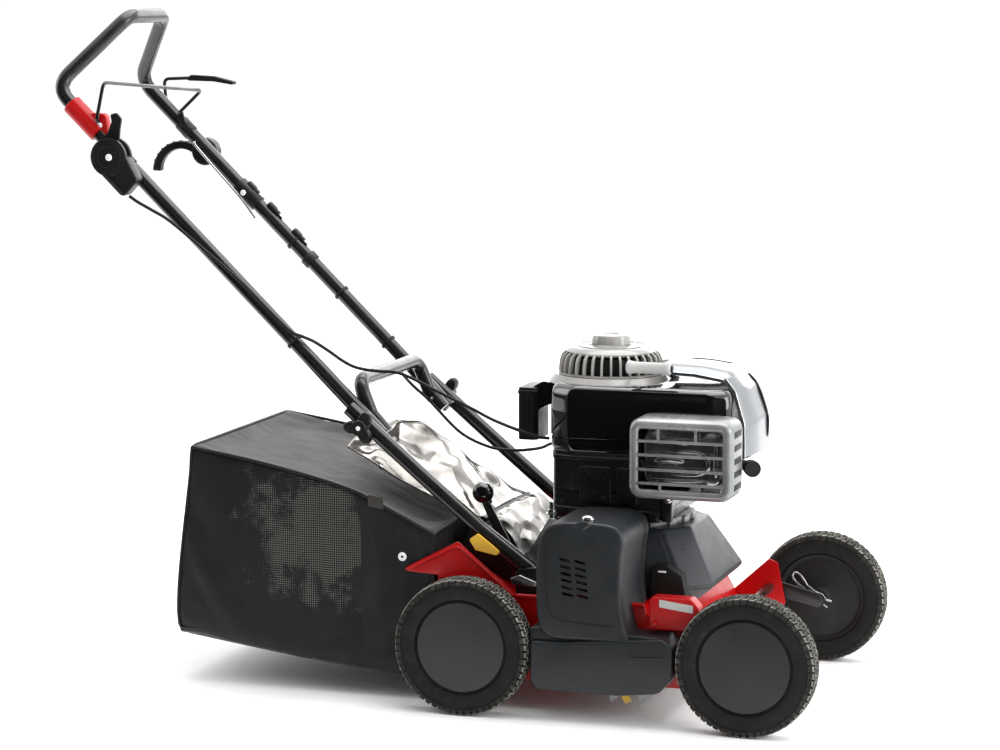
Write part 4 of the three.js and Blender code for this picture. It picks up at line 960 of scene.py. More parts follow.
side_rings = [cage_ring(0, -105), cage_ring(0, -158), cage_ring(2.2, -164), cage_ring(6, -167.4),
              cage_ring(10, -168),
              cage_ring(13, -166.4), cage_ring(14.5, -163.5), cage_ring(8, -162), cage_ring(4, -158),
              cage_ring(3, -105)]
side_rings.append(side_rings[0])
guard.add((sum(side_rings[:-1], []), ring_faces(len(side_rings) - 1, len(side_rings[0]), wrap=True)), CAST)
for z in (396, 376, 355, 335):
    bar = slab([(-167.2, z - 2.1), (-167.2, z + 2.1), (-163, z + 2.1), (-163, z - 2.1)], 231, 361, "x")
    guard.add(softened(bar, 1.2, 3), CAST)
for x, z0, z1 in ((263, 396, 417), (266, 323, 335), (318, 396, 417)):
    guard.add(softened(block(x - 2, x + 2, -166.6, -163, z0, z1), 1.0, 3), CAST)
for i in range(5):
    z = 327 + i * 19
    guard.add(softened(block(371.2, 372.6, -152, -112, z, z + 9), 0.6, 2), SOFT)
guard.place("chassis", ["muffler_guard"], "cast_metal")

muffler = Piece("muffler_can")
can = [mm(p.x, 0, p.y) for p in rounded([(238, 330), (358, 330), (358, 414), (238, 414)], 22, 8)]
middle = mm(298, 0, 372)


def can_ring(y, shrink):
    return [middle + (p - middle) * shrink + Vector((0, y / 1000, 0)) for p in can]


muffler.add(loft([can_ring(-106, 1), can_ring(-128, 1), can_ring(-129, 1.03), can_ring(-133, 1.03),
                  can_ring(-134, 1),
                  can_ring(-150, 0.99), can_ring(-154, 0.96), can_ring(-156, 0.9), can_ring(-155, 0.6)]),
                  STEEL)
embossed = [
    ([(258, 394), (282, 397), (304, 392)], 4.6), ([(254, 366), (276, 370), (300, 367)], 6.4),
    ([(286, 381), (318, 381), (333, 372), (333, 358), (318, 349), (280, 347)], 3.6),
    ([(256, 340), (290, 339), (330, 341)], 4.0), ([(346, 344), (346, 370), (346, 398)], 4.4),
]
for line, width in embossed:
    route = threaded([(x, -154.6, z) for x, z in line], 3)
    muffler.add(sweep(route, swelling(len(route), 0.8, width - 0.8, 0.5), 14), STEEL)
muffler.add(lathe([(9, 0), (9, 6), (6, 7), (5, 4), (0, 4)], mm(232, -150, 359), (0, -1, 0), 32), SOFT)
muffler.place("chassis", ["muffler"], "bright_steel")

boot = Piece("plug_boot")
boot_from = mm(376, -72, 350.6)
boot_to = mm(385, -92, 351)
boot_axis = (boot_to - boot_from).normalized()
reach = (boot_to - boot_from).length * 1000
boot_line = [(8.6, 0), (10.5, 0.5), (11.6, 3), (11.2, 8), (12, 12), (12, reach - 1.2), (11.2, reach),
             (9.4, reach), (9, reach - 0.6), (0, reach - 0.6)]
boot.add(lathe(boot_line, boot_from, boot_axis, 40), SOFT)
boot.place("chassis", ["spark_plug_boot"], "soft_black")

cap = Piece("fuel_cap_knurled")
cap.add(lathe([(0, 446), (12, 446), (12, 463), (16.4, 463), (17, 464), (17, 475.6), (15.8, 478.6), (13, 480),
               (11, 479),
               (0, 479)], mm(212, 82, 0), (0, 0, 1), 64), BLACK)
cap.place("fuel_cap", ["fuel_cap"], "black_plastic")


# ---- handle ----
def mirrored(corners):
    return [(x, -y, z) for x, y, z in reversed(corners)]


loop = Piece("handle_loop")
half_loop = [(FOLD[0] + 17, -UPPER_Y, on_tube(FOLD[0] + 17)), (-681, -UPPER_Y, 888), (-600, -64.5, 992)]
loop.add(sweep(bent(half_loop + mirrored(half_loop), 34, 10), 11, 32), TUBE)
for side in (-1, 1):
    end = mm(FOLD[0] + 17, side * UPPER_Y, on_tube(FOLD[0] + 17))
    down = Vector((1, 0, SLOPE)).normalized()
    loop.add(lathe([(10.4, -0.4), (10.4, 0.4), (8.6, 0.5), (8.6, -2), (0, -2)], end, down, 32), SOFT)
loop.place("upper_handle", ["upper_handle"], "tube_black")

for name, side in (("right", -1), ("left", 1)):
    leg = Piece(f"lower_leg_{name}")
    corners = [(FOLD[0] - 26, side * LEG_Y, FOLD[1] + 25), (-93, side * LEG_Y, 332), (0, side * LEG_Y, 256),
               (88, side * LEG_Y, 193)]
    leg.add(sweep(bent(corners, 120, 10), 11, 32), TUBE)
    foot = rounded([(64, 204), (96, 208), (106, 190), (106, 159), (58, 159), (58, 198)], [8, 10, 8, 2, 2, 8])
    near, far = sorted((side * (LEG_Y + 12), side * (LEG_Y + 16)))
    leg.add(softened(slab(foot, near, far), 1, 2), TUBE)
    near, far = sorted((side * LEG_Y, side * (LEG_Y + 14)))
    leg.add(softened(slab([(78, 202), (94, 202), (94, 186), (78, 186)], near, far), 1.5, 2), TUBE)
    near, far = sorted((side * (LEG_Y + 2), side * (LEG_Y + 16)))
    leg.add(softened(slab([(58, 158.6), (106, 158.6), (106, 162), (58, 162)], near, far), 0.8, 2), TUBE)
    for x in (68, 96):
        hex_bolt(leg, mm(x, side * (LEG_Y + 9), 162), (0, 0, 1), 9, 6, STEEL)
    leg.place("chassis", [f"handle_leg_{name}"], "tube_black")

brace = Piece("cross_brace")
BRACE_Y = UPPER_Y - 22.5
half_brace = [(-162, -BRACE_Y, 384), (-186, -BRACE_Y, 410), (-206, -BRACE_Y, 459)]
brace.add(sweep(bent(half_brace + mirrored(half_brace), 26, 8), 11, 32), TUBE)
brace.place("chassis", ["handle_brace"], "tube_black")

for name, side in (("right", -1), ("left", 1)):
    knob = Piece(f"wing_knob_{name}")
    centre = mm(FOLD[0], 0, FOLD[1])
    out = Vector((0, side, 0))
    lobes = []
    for i in range(72):
        angle = math.tau * i / 72
        radius = 18 + 8 * math.cos(3 * (angle - math.pi))
        lobes.append((radius * math.cos(angle), radius * math.sin(angle)))
    rings = []
    for y, shrink in ((186, 0.86), (188, 0.96), (191, 1), (198, 1), (201, 0.96), (202, 0.88)):
        rings.append([mm(FOLD[0] + u * shrink, side * y, FOLD[1] + v * shrink) for u, v in lobes])
    knob.add(loft(rings), BLACK)
    knob.add(lathe([(12, 185.6), (12, 203), (10.5, 205.4), (0, 206)], centre, out, 40), BLACK)
    knob.add(lathe([(4, 106.2), (4, 190)], centre, out, 20), STEEL)
    knob.add(lathe([(3.4, 205), (3.4, 205.9), (0, 206)], centre, out, 24), WHITE)
    knob.place(f"fold_knob_{name}", [f"fold_knob_{name}"], "black_plastic")


# ---- controls ----
def tube_point(x, y, off=0):
    return mm(x, y, on_tube(x) + off)


DOWN = Vector((1, 0, SLOPE)).normalized()
UP = Vector((-SLOPE, 0, 1)).normalized()

bracket = Piece("red_bracket")
start = tube_point(-655, -UPPER_Y)
length = (tube_point(-610, -UPPER_Y) - start).length * 1000
sleeve = [(11.3, 0), (14.5, 0), (15.4, 1), (15.4, length - 1), (14.5, length), (11.3, length), (11.3, 0)]
bracket.add(lathe(sleeve, start, DOWN, 48), RED)
ear = rounded([(-630, 838), (-618, 850), (-596, 849), (-592, 818), (-606, 810)], [5, 6, 9, 8, 5])
bracket.add(softened(slab(ear, -159, -144), 2, 3), RED)
dome_screw(bracket, mm(-607, -159, 831), (0, -1, 0), 5.5, 3, WHITE)
bracket.place("upper_handle", ["bail_bracket"], "red_paint")

bail = Piece("stop_bail_wire")
bail_route = [(-607, -146, 837), (-607, -168, 837), (-594, -168, 896), (-568, 133, 873), (-607, 133, 837),
              (-607, 140, 837)]
bail.add(sweep(bent(bail_route, 10, 8), 2.8, 18), TUBE)
bail.place("stop_bail", ["stop_bail"], "tube_black")

far_clip = Piece("bail_holder")
start = tube_point(-612, UPPER_Y)
length = (tube_point(-594, UPPER_Y) - start).length * 1000
band = [(11.2, 0), (12.0, 0), (12.4, 1), (12.4, length - 1), (12.0, length), (11.2, length), (11.2, 0)]
far_clip.add(lathe(band, start, DOWN, 40), BLACK)
tab = rounded([(-612, 836), (-609, 841), (-604, 841), (-598, 822), (-606, 814)], 3)
far_clip.add(softened(slab(tab, 136.4, 141), 1.2, 3), BLACK)
far_clip.place("upper_handle", ["bail_clip_left"], "black_plastic")

drive = Piece("drive_lever_wire")
drive_route = [(-645, 156, on_tube(-645)), (-645, 168, on_tube(-645)), (-648, 168, 889), (-600, 168, 891)]
drive.add(sweep(bent(drive_route, 9, 8), 2.8, 18), TUBE)
paddle = rounded([(-606, 887), (-600, 896), (-560, 894), (-526, 886), (-526, 881), (-560, 886)], 2.5, 3)
drive.add(softened(slab(paddle, 161, 175), 1.6, 3), SOFT)
drive.place("drive_lever", ["drive_lever"], "tube_black")

THROTTLE = (-579, 786)
throttle = Piece("throttle_housing")
disc = mm(THROTTLE[0], 0, THROTTLE[1])
for low, high, radius in ((-190, -182, 28.6), (-171, -163, 28.6), (-182, -171, 11)):
    line = [(0, -high), (radius - 2, -high), (radius, -high + 1.5), (radius, -low - 1.5),
            (radius - 2.5, -low), (0, -low)]
    throttle.add(lathe(line, disc, (0, -1, 0), 56), BLACK)
throttle.add(lathe([(22, 189), (21, 190.3), (16, 190.6), (15, 189.6), (0, 189.6)], disc, (0, -1, 0), 48),
             BLACK)
body = rounded([(-605, 776), (-599, 762), (-557, 726), (-532, 750), (-555, 792), (-559, 794), (-599, 794)],
               [4, 10, 10, 10, 8, 2, 2])
throttle.add(softened(slab(rounded([(-604, 778), (-590, 758), (-557, 726), (-532, 752), (-553, 790)], 8),
                           -188, -163),
                      3, 4), BLACK)
throttle.add(sweep(bent([(-590, -188.4, 765), (-556, -188.4, 733)], 2), 1.6, 10), BLACK)
throttle.add(lathe([(5.4, 187), (5.4, 188.6), (4, 188.6), (3.6, 186), (0, 186)], mm(-548, 0, 744), (0, -1, 0),
                   28), SOFT)
dome_screw(throttle, mm(THROTTLE[0] + 2, -190, THROTTLE[1]), (0, -1, 0), 5.2, 2.6, WHITE)
strap = [(12.0, -9), (13.0, -9), (13.0, 9), (12.0, 9), (12.0, -9)]
throttle.add(lathe(strap, tube_point(-566, -UPPER_Y), DOWN, 40), BLACK)
throttle.place("upper_handle", ["throttle_box"], "black_plastic")

thumb = Piece("throttle_thumb")
thumb_side = rounded([(-588, 799), (-596, 813), (-584, 822), (-577, 838), (-579, 849), (-569, 852),
                      (-561, 843),
                      (-564, 826), (-565, 812), (-572, 799)], [1, 5, 6, 10, 3, 5, 6, 8, 6, 1], 4)
thumb.add(softened(slab(thumb_side, -179, -174), 1.1, 3), BLACK)
thumb.place("throttle_lever", ["throttle_lever"], "black_plastic")

clutch = Piece("crescent_lever")
middle = mm(-579, 0, 774)
clutch.add(lathe([(0, 165), (20, 165), (22, 167), (22, 183), (19.5, 185), (9, 185), (8, 184), (0, 184)],
                 middle,
                 (0, 1, 0), 56), BLACK)
inner, outer_edge = [], []
for i in range(25):
    angle = math.radians(20 + 158 * i / 24)
    spread = 1 + 0.12 * math.sin(math.pi * i / 24)
    outer_edge.append((-621 + 50 * math.cos(angle), 740 + 50 * math.sin(angle)))
    inner.append((-621 + (50 - 14 / spread) * math.cos(angle), 740 + (50 - 14 / spread) * math.sin(angle)))
clutch.add(softened(slab(outer_edge + inner[::-1], 168, 182), 2.4, 3, 50), BLACK)
for i in range(3, 22, 2):
    angle = math.radians(20 + 158 * i / 24)
    rib = [mm(-621 + r * math.cos(angle), y, 740 + r * math.sin(angle))
           for r, y in ((49.6, 169.5), (49.8, 175), (49.6, 180.5))]
    clutch.add(sweep(rib, 1.6, 8), BLACK)
dome_screw(clutch, mm(-579, 184, 774), (0, 1, 0), 5, 1, WHITE)
clutch.place("clutch_lever", ["clutch_lever"], "black_plastic")

# the rod of the crescent lever runs down the left tube's inner side to a clamp block
rod = Piece("control_rod")
INNER_Y = 137.6
rod_line = [(-575, 150, 792), (-585, 140, 790), (-560, INNER_Y, 762), (-507, INNER_Y, 706),
            (-480, INNER_Y, 672)]
rod.add(sweep(threaded(rod_line, 8), 2.0, 12), STEEL)
for x, long in ((-498, 46), (-393, 14)):
    start = tube_point(x - long / 3, UPPER_Y)
    band = [(11.2, 0), (12.8, 0), (13.4, 1), (13.4, long - 1), (12.8, long), (11.2, long), (11.2, 0)]
    rod.add(lathe(band, start, DOWN, 40), BLACK)
for x, off in ((-498, 12), (-464, 13), (-422, 13)):
    spot = tube_point(x, UPPER_Y) + UP * off / 1000
    rod.add(lathe([(0, -11), (5, -11), (6, -8), (6, 4), (4.6, 5), (4.6, 13), (3, 14), (0, 14)], spot, DOWN,
                  24), BLACK)
    rod.add(lathe([(3, 14), (3, 22), (0, 22)], spot, DOWN, 18), STEEL)
dome_screw(rod, tube_point(-500, UPPER_Y - 15, 0), (0, -1, 0), 4.5, 2.5, WHITE)
rod.place("upper_handle", slot="black_plastic")


# ---- depth lever ----
lever = Piece("depth_lever_bar")
lever_side = rounded([(36, 181), (49, 176), (54, 188), (-4, 294), (-14, 290)], [6, 8, 6, 3, 3])
lever.add(softened(slab(lever_side, -133, -127), 1.2, 2), TUBE)
lever.add(lathe([(0, 116.8), (5, 116.8), (5, 136), (0, 136)], mm(45, 0, 185), (0, -1, 0), 24), STEEL)
lever_axis = Vector((-0.4, 0, 0.91)).normalized()
ball = []
for i in range(25):
    angle = math.pi * i / 24
    ball.append((16 * math.sin(angle), -16 * math.cos(angle)))
lever.add(lathe(ball, mm(-11, -130, 302), lever_axis, 48), GLOSS)
lever.add(lathe([(0, -19), (7, -19), (8, -12), (0, -12)], mm(-11, -130, 302), lever_axis, 32), BLACK)
lever.place("depth_lever", ["depth_lever"], "black_plastic")


# ---- flap ----
SMOKE = Nodes("smoke_film")
shade = SMOKE.mix(SMOKE.spread(SMOKE.noise(11, 4), 0.38, 0.62, 0, 1), rgb(44, 41, 38), rgb(172, 168, 163))
SMOKE.link(shade, SMOKE.shader.inputs["Base Color"])
SMOKE.link(SMOKE.spread(SMOKE.noise(40, 4), 0.3, 0.7, 0.05, 0.18), SMOKE.shader.inputs["Roughness"])
creases = SMOKE.noise(15, 2, 0.4)
SMOKE.link(SMOKE.bump(creases, 0.35, 0.008), SMOKE.shader.inputs["Normal"])
SMOKE.shader.inputs["Metallic"].default_value = 0.85
SMOKE = SMOKE.material

FLAP_ROWS = [(-232, 354, 18), (-196, 336, 38), (-155, 312, 54), (-118, 295, 54), (-84, 281, 42),
             (-50, 268, 22),
             (-20, 259, 4)]


def along_rows(x):
    """The flap's edge height and crown at one place along it."""
    for (x0, e0, c0), (x1, e1, c1) in zip(FLAP_ROWS, FLAP_ROWS[1:]):
        if x <= x1:
            t = (x - x0) / (x1 - x0)
            return e0 + (e1 - e0) * t, c0 + (c1 - c0) * t
    return FLAP_ROWS[-1][1:]


flap = Piece("flap_film")
LENGTHS, WIDTHS = 64, 64
film, under = [], []
for r in range(LENGTHS + 1):
    x = -231 + 211 * r / LENGTHS
    edge_z, crown = along_rows(x)
    for k in range(WIDTHS + 1):
        share = 2 * k / WIDTHS - 1
        fade = min(1, (1 - abs(share)) * 6) * min(1, r / 8, (LENGTHS - r) / 10)
        place = Vector((x / 62, share * 1.7, 0.7))
        wave = (noise.noise(place) * 15 + noise.noise(place * 2.1 + Vector((3, 1, 2))) * 5) * fade
        z = edge_z + crown * (1 - share * share) + 1.2 + wave
        film.append(mm(x, share * 109, z + 0.7))
        under.append(mm(x, share * 109, z - 0.7))
across = WIDTHS + 1
flap.add(thin_sheet(film, under, WIDTHS), SMOKE)
flap.add(lathe([(5, -110), (5, 110)], mm(-17, 0, 258), (0, 1, 0), 24), BLACK)
near_edge = [film[r * across] for r in range(0, LENGTHS + 1)]
far_edge = [film[r * across + WIDTHS] for r in range(0, LENGTHS + 1)]
rear_edge = film[:across]
for line in (near_edge, far_edge, rear_edge):
    flap.add(sweep(line, 1.5, 10), SMOKE)
for share in (0.25, 0.6, 0.85):
    spot = near_edge[int(LENGTHS * share)]
    flap.add(lathe([(0, -3), (3, -3), (3, 3), (0, 3)], spot, (0.8, 0, -0.5), 16), STEEL)
flap.place("rear_flap", ["rear_flap"], "smoke_flap")

# the same film goes on below the hinge, over the chute
apron = Piece("chute_film")
apron_line = threaded([(-8, 0, 264), (4, 0, 262), (15, 0, 250), (34, 0, 222), (54, 0, 193), (70, 0, 171)], 3)
top_film, low_film = [], []
APRON_COLUMNS = 40
for i, spot in enumerate(apron_line):
    for k in range(APRON_COLUMNS + 1):
        share = 2 * k / APRON_COLUMNS - 1
        ripple = noise.noise(Vector((i / 9, share * 2.2, 4.1))) * 5
        top_film.append(spot + Vector((ripple * 0.8, share * 111, ripple * 0.6)) / 1000)
        low_film.append(top_film[-1] - Vector((0.001, 0, 0.001)))
apron.add(thin_sheet(top_film, low_film, APRON_COLUMNS), SMOKE)
apron.place("chassis", slot="smoke_flap")


# ---- bag ----
def fabric(name, dark, light, rough, weave, bump, sheen):
    """A woven cloth: crossed threads, uneven colour and a soft sheen."""
    n = Nodes(name)
    n.link(n.mix(n.spread(n.noise(14, 5), 0.35, 0.65, 0, 1), dark, light), n.shader.inputs["Base Color"])
    n.link(n.spread(n.noise(22, 4), 0.3, 0.7, rough - 0.07, rough + 0.07), n.shader.inputs["Roughness"])
    threads = []
    for direction in ("X", "Y", "Z"):
        wave = n.new("ShaderNodeTexWave", bands_direction=direction)
        wave.inputs["Scale"].default_value = weave
        n.link(n.place, wave.inputs["Vector"])
        threads.append(wave.outputs["Fac"])
    height = n.sum("ADD", n.sum("ADD", threads[0], threads[1]), threads[2])
    creases = n.bump(n.noise(19, 3, 0.45, (1, 1.6, 1)), 0.5, 0.006)
    n.link(n.bump(height, bump, 0.0003, creases), n.shader.inputs["Normal"])
    n.shader.inputs["Specular IOR Level"].default_value = 0.35
    n.shader.inputs["Sheen Weight"].default_value = sheen
    n.shader.inputs["Sheen Roughness"].default_value = 0.4
    return n


BAG_TOP = fabric("bag_cloth", rgb(40, 38, 36), rgb(54, 51, 48), 0.62, 260, 0.3, 0.15).material
BAG_DARK = fabric("bag_cloth_dark", rgb(16, 16, 16), rgb(24, 24, 23), 0.55, 260, 0.3, 0.06).material
BAG_ROLL = fabric("bag_coated_cloth", rgb(12, 12, 12), rgb(20, 19, 18), 0.3, 260, 0.1, 0.0).material
MESH = fabric("bag_mesh", rgb(12, 12, 12), rgb(18, 18, 17), 0.6, 260, 0.2, 0.05)
# painted light: pale dots where light shows through the mesh's holes, painted into the base colour in one
# fixed ragged patch placed by x and z alone, so the same patch shows on both sides of the bag
flat = MESH.new("ShaderNodeMapping")
flat.inputs["Scale"].default_value = (1, 0, 1)
MESH.link(MESH.place, flat.inputs["Vector"])
holes = MESH.new("ShaderNodeTexVoronoi")
holes.inputs["Scale"].default_value = 1 / 0.0034
holes.inputs["Randomness"].default_value = 0.0
MESH.link(flat.outputs["Vector"], holes.inputs["Vector"])
patch = MESH.new("ShaderNodeMapping")
patch.inputs["Location"].default_value = (-mm(-250, 0, 0).x / 0.098, 0, -0.236 / 0.09)
patch.inputs["Scale"].default_value = (1 / 0.098, 0, 1 / 0.09)
MESH.link(MESH.place, patch.inputs["Vector"])
from_middle = MESH.new("ShaderNodeVectorMath", operation="LENGTH")
MESH.link(patch.outputs["Vector"], from_middle.inputs[0])
ragged = MESH.sum("ADD", from_middle.outputs["Value"],
                  MESH.spread(MESH.noise(24, 6, 0.7), 0.3, 0.7, -0.7, 0.7))
dots = MESH.spread(holes.outputs["Distance"], 0.16, 0.3, 1, 0)
# the painted light dots, kept inside the ragged patch
painted_light_dots = MESH.sum("MULTIPLY", dots, MESH.spread(ragged, 0.7, 1.1, 1, 0.05))
cloth_colour = MESH.shader.inputs["Base Color"].links[0].from_socket
MESH.link(MESH.mix(painted_light_dots, cloth_colour, rgb(128, 126, 121)), MESH.shader.inputs["Base Color"])
BAG_MESH = MESH.material

BAG_HALF = 194
BAG_TOP_LINE = [(-67, 249), (-120, 275), (-201, 310), (-330, 340), (-448, 359)]
BAG_FLOOR_LINE = [(-96, 36), (-112, 28), (-275, 44), (-464, 69)]
ALONG, ACROSS, UPWARD = 44, 30, 18


def point_on(line, share):
    """The place a given share of the way along a line of (x, z) points."""
    reach = share * (len(line) - 1)
    return smooth_line(line, reach)


def smooth_line(line, reach):
    k = min(int(reach), len(line) - 2)
    t = reach - k
    a = Vector(line[max(k - 1, 0)])
    b, c = Vector(line[k]), Vector(line[k + 1])
    d = Vector(line[min(k + 2, len(line) - 1)])
    return 0.5 * (2 * b + (c - a) * t + (2 * a - 5 * b + 4 * c - d) * t * t + (3 * b - a - 3 * c + d) * t ** 3)


def bag_point(s, across, up):
    """A point of the bag's skin: s from mouth to rear, across from -1 to 1, up from 0 to 1."""
    top, floor = point_on(BAG_TOP_LINE, s), point_on(BAG_FLOOR_LINE, min(1, s * 0.94 + 0.06))
    if s < 0.06:
        floor = Vector(BAG_FLOOR_LINE[0])
    height = top.y - floor.y
    y, z = across * BAG_HALF, up * height
    radius = 8 if up > 0.5 else 26
    corner_y = BAG_HALF - radius
    corner_z = height - radius if up > 0.5 else radius
    out_y = abs(y) - corner_y
    out_z = z - corner_z if up > 0.5 else corner_z - z
    if out_y > 0 and out_z > 0:
        reach = max(out_y, out_z) / math.hypot(out_y, out_z)
        y = math.copysign(corner_y + out_y * reach, y)
        z = corner_z + (out_z if up > 0.5 else -out_z) * reach
    share = z / height
    x = floor.x + (top.x - floor.x) * share
    x += (30 * min(1, share / 0.36) - 30 * share) * (1 - s) ** 4
    x -= 12 * math.sin(math.pi * min(1, share * 1.15) ** 0.5) * s ** 12
    return mm(x, y, floor.y + z)


def bag_rim():
    """(across, up) round the section, once."""
    rim = [(2 * i / ACROSS - 1, 0.0) for i in range(ACROSS)]
    rim += [(1.0, i / UPWARD) for i in range(UPWARD)]
    rim += [(1 - 2 * i / ACROSS, 1.0) for i in range(ACROSS)]
    rim += [(-1.0, 1 - i / UPWARD) for i in range(UPWARD)]
    return rim


rim = bag_rim()
turn = len(rim)
skin, skin_faces, held = [], [], []
MOUTH_RINGS = 4
for ring in range(MOUTH_RINGS, 0, -1):
    share = ring / MOUTH_RINGS
    for across, up in rim:
        mouth = mm(-70, across * 180, 120 + up * 72)
        skin.append(bag_point(0, across, up).lerp(mouth, share))
        held.append(1.0)
for station in range(ALONG + 1):
    s = station / ALONG
    for across, up in rim:
        skin.append(bag_point(s, across, up))
        seam = abs(abs(across) - 1) < 0.01 and (up > 0.99 or up < 0.01)
        held.append(1.0 if seam or station in (0, ALONG) or up < 0.01 else 0.04)
rings = MOUTH_RINGS + ALONG + 1
for ring in range(rings - 1):
    for k in range(turn):
        a, b = ring * turn + k, ring * turn + (k + 1) % turn
        skin_faces.append((a, b, b + turn, a + turn))
last = (rings - 1) * turn
places = {}
for k, (across, up) in enumerate(rim):
    places[(round((across + 1) / 2 * ACROSS), round(up * UPWARD))] = last + k
for i in range(1, ACROSS):
    for j in range(1, UPWARD):
        places[(i, j)] = len(skin)
        skin.append(bag_point(1, 2 * i / ACROSS - 1, j / UPWARD))
        held.append(0.04)
for i in range(ACROSS):
    for j in range(UPWARD):
        skin_faces.append((places[(i, j)], places[(i + 1, j)], places[(i + 1, j + 1)], places[(i, j + 1)]))

mesh = bpy.data.meshes.new("bag_skin")
mesh.from_pydata([tuple(p) for p in skin], [], skin_faces)
mesh.validate()
for material in (BAG_TOP, BAG_DARK, BAG_ROLL, BAG_MESH):
    mesh.materials.append(material)
SIDE_DARK_X = mm(-178, 0, 0).x
for face in mesh.polygons:
    face.use_smooth = True
    middle, facing = face.center, face.normal
    if middle.x < mm(-440, 0, 0).x and abs(facing.x) > 0.7:
        face.material_index = 1
    elif abs(facing.y) > 0.7 and middle.x < SIDE_DARK_X:
        face.material_index = 3
    elif abs(facing.y) > 0.7 or middle.x > mm(-76, 0, 0).x:
        face.material_index = 1
    elif facing.z > 0.3 or middle.z > 0.24:
        face.material_index = 0
    else:
        face.material_index = 2
WELD = 0.0004
SETTLE_FRAMES = 20
FURTHEST_SAG = 0.014
bag = bpy.data.objects.new("bag_skin", mesh)
scene.collection.objects.link(bag)
pins = bag.vertex_groups.new(name="held")
for i, weight in enumerate(held):
    pins.add([i], weight, "REPLACE")

# rows of the skin meet in shared corners, which the cloth needs as single points
welded = bmesh.new()
welded.from_mesh(mesh)
bmesh.ops.remove_doubles(welded, verts=welded.verts, dist=WELD)
welded.to_mesh(mesh)
welded.free()


def applied(thing):
    """The mesh with its modifiers worked in."""
    made = bpy.data.meshes.new_from_object(thing.evaluated_get(bpy.context.evaluated_depsgraph_get()))
    thing.modifiers.clear()
    thing.data = made


cloth = bag.modifiers.new("cloth", "CLOTH")
cloth.settings.quality = 5
cloth.settings.mass = 0.35
cloth.settings.vertex_group_mass = "held"
cloth.settings.tension_stiffness = 30
cloth.settings.compression_stiffness = 30
cloth.settings.shear_stiffness = 8
cloth.settings.bending_stiffness = 0.8
cloth.settings.shrink_min = -0.012
cloth.collision_settings.use_collision = False
cloth.point_cache.frame_start = 1
cloth.point_cache.frame_end = 24
for step in range(1, SETTLE_FRAMES + 1):
    scene.frame_set(step)
start = [v.co.copy() for v in bag.data.vertices]
applied(bag)
for vertex, rest in zip(bag.data.vertices, start):
    moved = vertex.co - rest
    if moved.length > FURTHEST_SAG:
        vertex.co = rest + moved.normalized() * FURTHEST_SAG
scene.frame_set(1)
thick = bag.modifiers.new("thick", "SOLIDIFY")
thick.thickness = 0.0014
thick.offset = -1
finer = bag.modifiers.new("finer", "SUBSURF")
finer.levels = 1
finer.render_levels = 1
bpy.context.view_layer.update()
applied(bag)
bag.data.set_sharp_from_angle(angle=math.radians(70))
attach(bag, "bag")
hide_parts("grass_bag")

trimmings = Piece("bag_trimmings")
for side in (-1, 1):
    top_seam = [bag_point(i / 40, side, 1.0) + Vector((0, side * 0.0005, 0.0005)) for i in range(41)]
    trimmings.add(sweep(top_seam, 2.4, 10), BAG_DARK)
    rear_seam = [bag_point(1, side, i / 16) for i in range(17)]
    trimmings.add(sweep(rear_seam, 2.2, 10), BAG_DARK)
    roll = [bag_point(i / 40, side * 0.975, 0.02) for i in range(41)]
    roll = [p + Vector((0, side * 0.001, 0.002 * math.sin(i * 0.9) + 0.004)) for i, p in enumerate(roll)]
    trimmings.add(sweep(roll, [9 + 1.2 * math.sin(i * 0.55) for i in range(41)], 20), BAG_ROLL)
rear_top = [bag_point(1, 2 * i / 24 - 1, 1.0) for i in range(25)]
trimmings.add(sweep(rear_top, 2.4, 10), BAG_DARK)
front_seam = [bag_point(0, across, up) for across, up in rim[::2]]
trimmings.add(sweep(front_seam, 2.6, 10, closed=True), BAG_DARK)
for side in (-1, 1):
    button = mm(-114, side * 195, 212)
    trimmings.add(lathe([(0, -1), (6, -1), (6.6, 0.4), (5.8, 1.6), (3.2, 1.8), (3, 1.0), (0, 1.0)], button,
                        (0, side, 0), 36), WHITE)
    trimmings.add(lathe([(0, 0), (2.2, 0), (2, 1.6), (0, 1.8)], button, (0, side, 0), 20), STEEL)
    strap = [(-168, 301), (-144, 297), (-143, 280), (-167, 284)]
    near, far = sorted((side * 193.6, side * 194.9))
    trimmings.add(softened(slab(rounded(strap, 2, 3), near, far), 0.4, 2), BAG_TOP)
trimmings.place("bag", slot="bag_fabric")


# ---- cables ----
STOP_CABLE = [
    (-551, -176, 728), (-537, -175, 719), (-513, -172, 706), (-488, -171, 692), (-440, -171, 656),
    (-376, -171, 606), (-330, -170, 563), (-298, -168, 534), (-283, -160, 526), (-268, -148, 517),
    (-250, -132, 501),
    (-233, -126, 488), (-215, -126, 479.6), (-196, -122, 475), (-176, -118, 473), (-141, -117, 470),
    (-80, -117, 444), (-36, -117, 425), (-6, -114, 410), (14, -98, 398), (34, -80, 387), (54, -66, 378),
    (69, -60, 376),
]
DRIVE_CABLE = [
    (-575, 190, 752), (-548, 184, 730), (-505, 174, 702), (-420, 171, on_tube(-420) - 8),
    (-340, 171, on_tube(-340) - 5), (-285, 170, on_tube(-285) - 6), (-256, 165, 462), (-247.6, 155.5, 449.4),
    (-241, 146, 441), (-230, 130, 434), (-208, 116, 419), (-180, 114, 397), (-130, 114, 350), (-81, 114, 329),
    (-41, 114, 326), (-14, 112, 329), (8, 99, 335), (28, 77, 345), (50, 56, 354), (72, 48, 358),
]
for name, line, upper_end, lower_end in (
    ("stop", STOP_CABLE, mm(-268, -148, 517), mm(-180, -118, 473)),
    ("drive", DRIVE_CABLE, mm(-285, 170, 498), mm(-208, 116, 419)),
):
    cable = Piece(f"{name}_cable")
    cable.add(sweep(threaded(line, 4), 2.4, 14), SOFT)
    thing = cable.place(stands_for=[f"{name}_cable_upper", f"{name}_cable_lower"], slot="soft_black")
    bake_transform(thing)
    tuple(upper_end)
    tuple(lower_end)

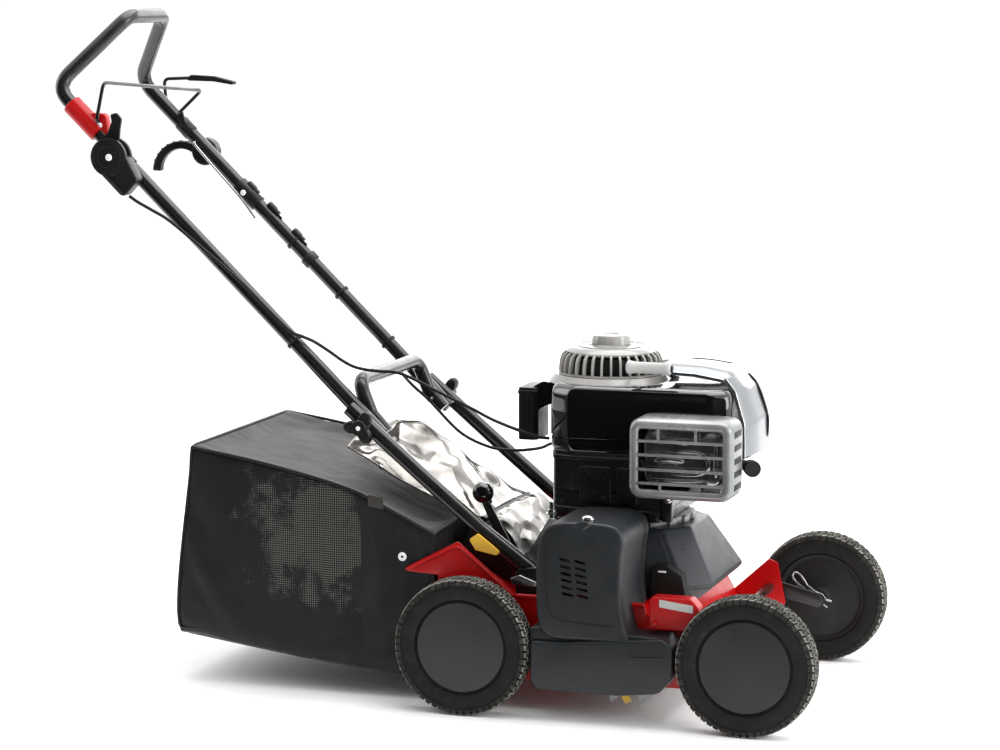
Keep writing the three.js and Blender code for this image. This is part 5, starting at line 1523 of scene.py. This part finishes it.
ties = Piece("cable_ties")
for x, side in ((-298, -1), (-262, 1), (-340, 1), (-420, 1)):
    loop_line = [(12.2, -2.2), (13.0, -2.2), (13.0, 2.2), (12.2, 2.2), (12.2, -2.2)]
    ties.add(lathe(loop_line, tube_point(x, side * UPPER_Y), DOWN, 32), SOFT)
    knot = tube_point(x, side * (UPPER_Y + 13), 2)
    ties.add(lathe([(0, -3.4), (3, -3.4), (3, 3.4), (0, 3.4)], knot, DOWN, 12), SOFT)
ties.place("upper_handle", slot="soft_black")


# ---- small parts on the deck ----
fittings = Piece("deck_fittings")
hex_bolt(fittings, mm(88, -108, 272), (0, 0, 1), 12, 7, STEEL)
fittings.add(lathe([(4.2, -6), (4.2, 18), (3.4, 19), (0, 19)], mm(88, -108, 272), (0, 0, 1), 20), STEEL)
leaf = rounded([(-12, 243), (2, 253), (20, 240), (36, 227), (30, 222), (-2, 228)], 4, 4)
fittings.add(softened(slab(leaf, -194, -190), 1.4, 3), YELLOW)
wedge = rounded([(50, 190), (66, 196), (94, 186), (90, 180), (56, 181)], 4, 4)
fittings.add(softened(slab(wedge, -196, -191), 1.8, 3), STEEL)
fittings.place("chassis", slot="bright_steel")


# ---- finishes of the CAD nodes that stay as they are ----
for node, material in (
    ("engine_shaft", DARK_STEEL), ("cross_shaft", DARK_STEEL), ("rotor_shaft", DARK_STEEL),
    ("drive_pulley", CAST), ("rotor_pulley", CAST), ("drive_belt", SOFT), ("rotor_knives", DARK_STEEL),
    ("cylinder_head", CAST), ("bag_frame", STEEL),
):
    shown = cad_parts[node]
    shown.data.materials.clear()
    shown.data.materials.append(material)

# ---- floor ----
FLOOR = finish("pale_floor", (0.92, 0.92, 0.92, 1), (0.95, 0.95, 0.95, 1), 0.85, grain=40, bump=0.02,
               specular=0.1)
floor_mesh = bpy.data.meshes.new("floor")
floor_mesh.from_pydata([(-60, -30, 0), (60, -30, 0), (60, 160, 0), (-60, 160, 0)], [], [(0, 1, 2, 3)])
floor_mesh.materials.append(FLOOR)
floor = bpy.data.objects.new("floor", floor_mesh)
scene.collection.objects.link(floor)
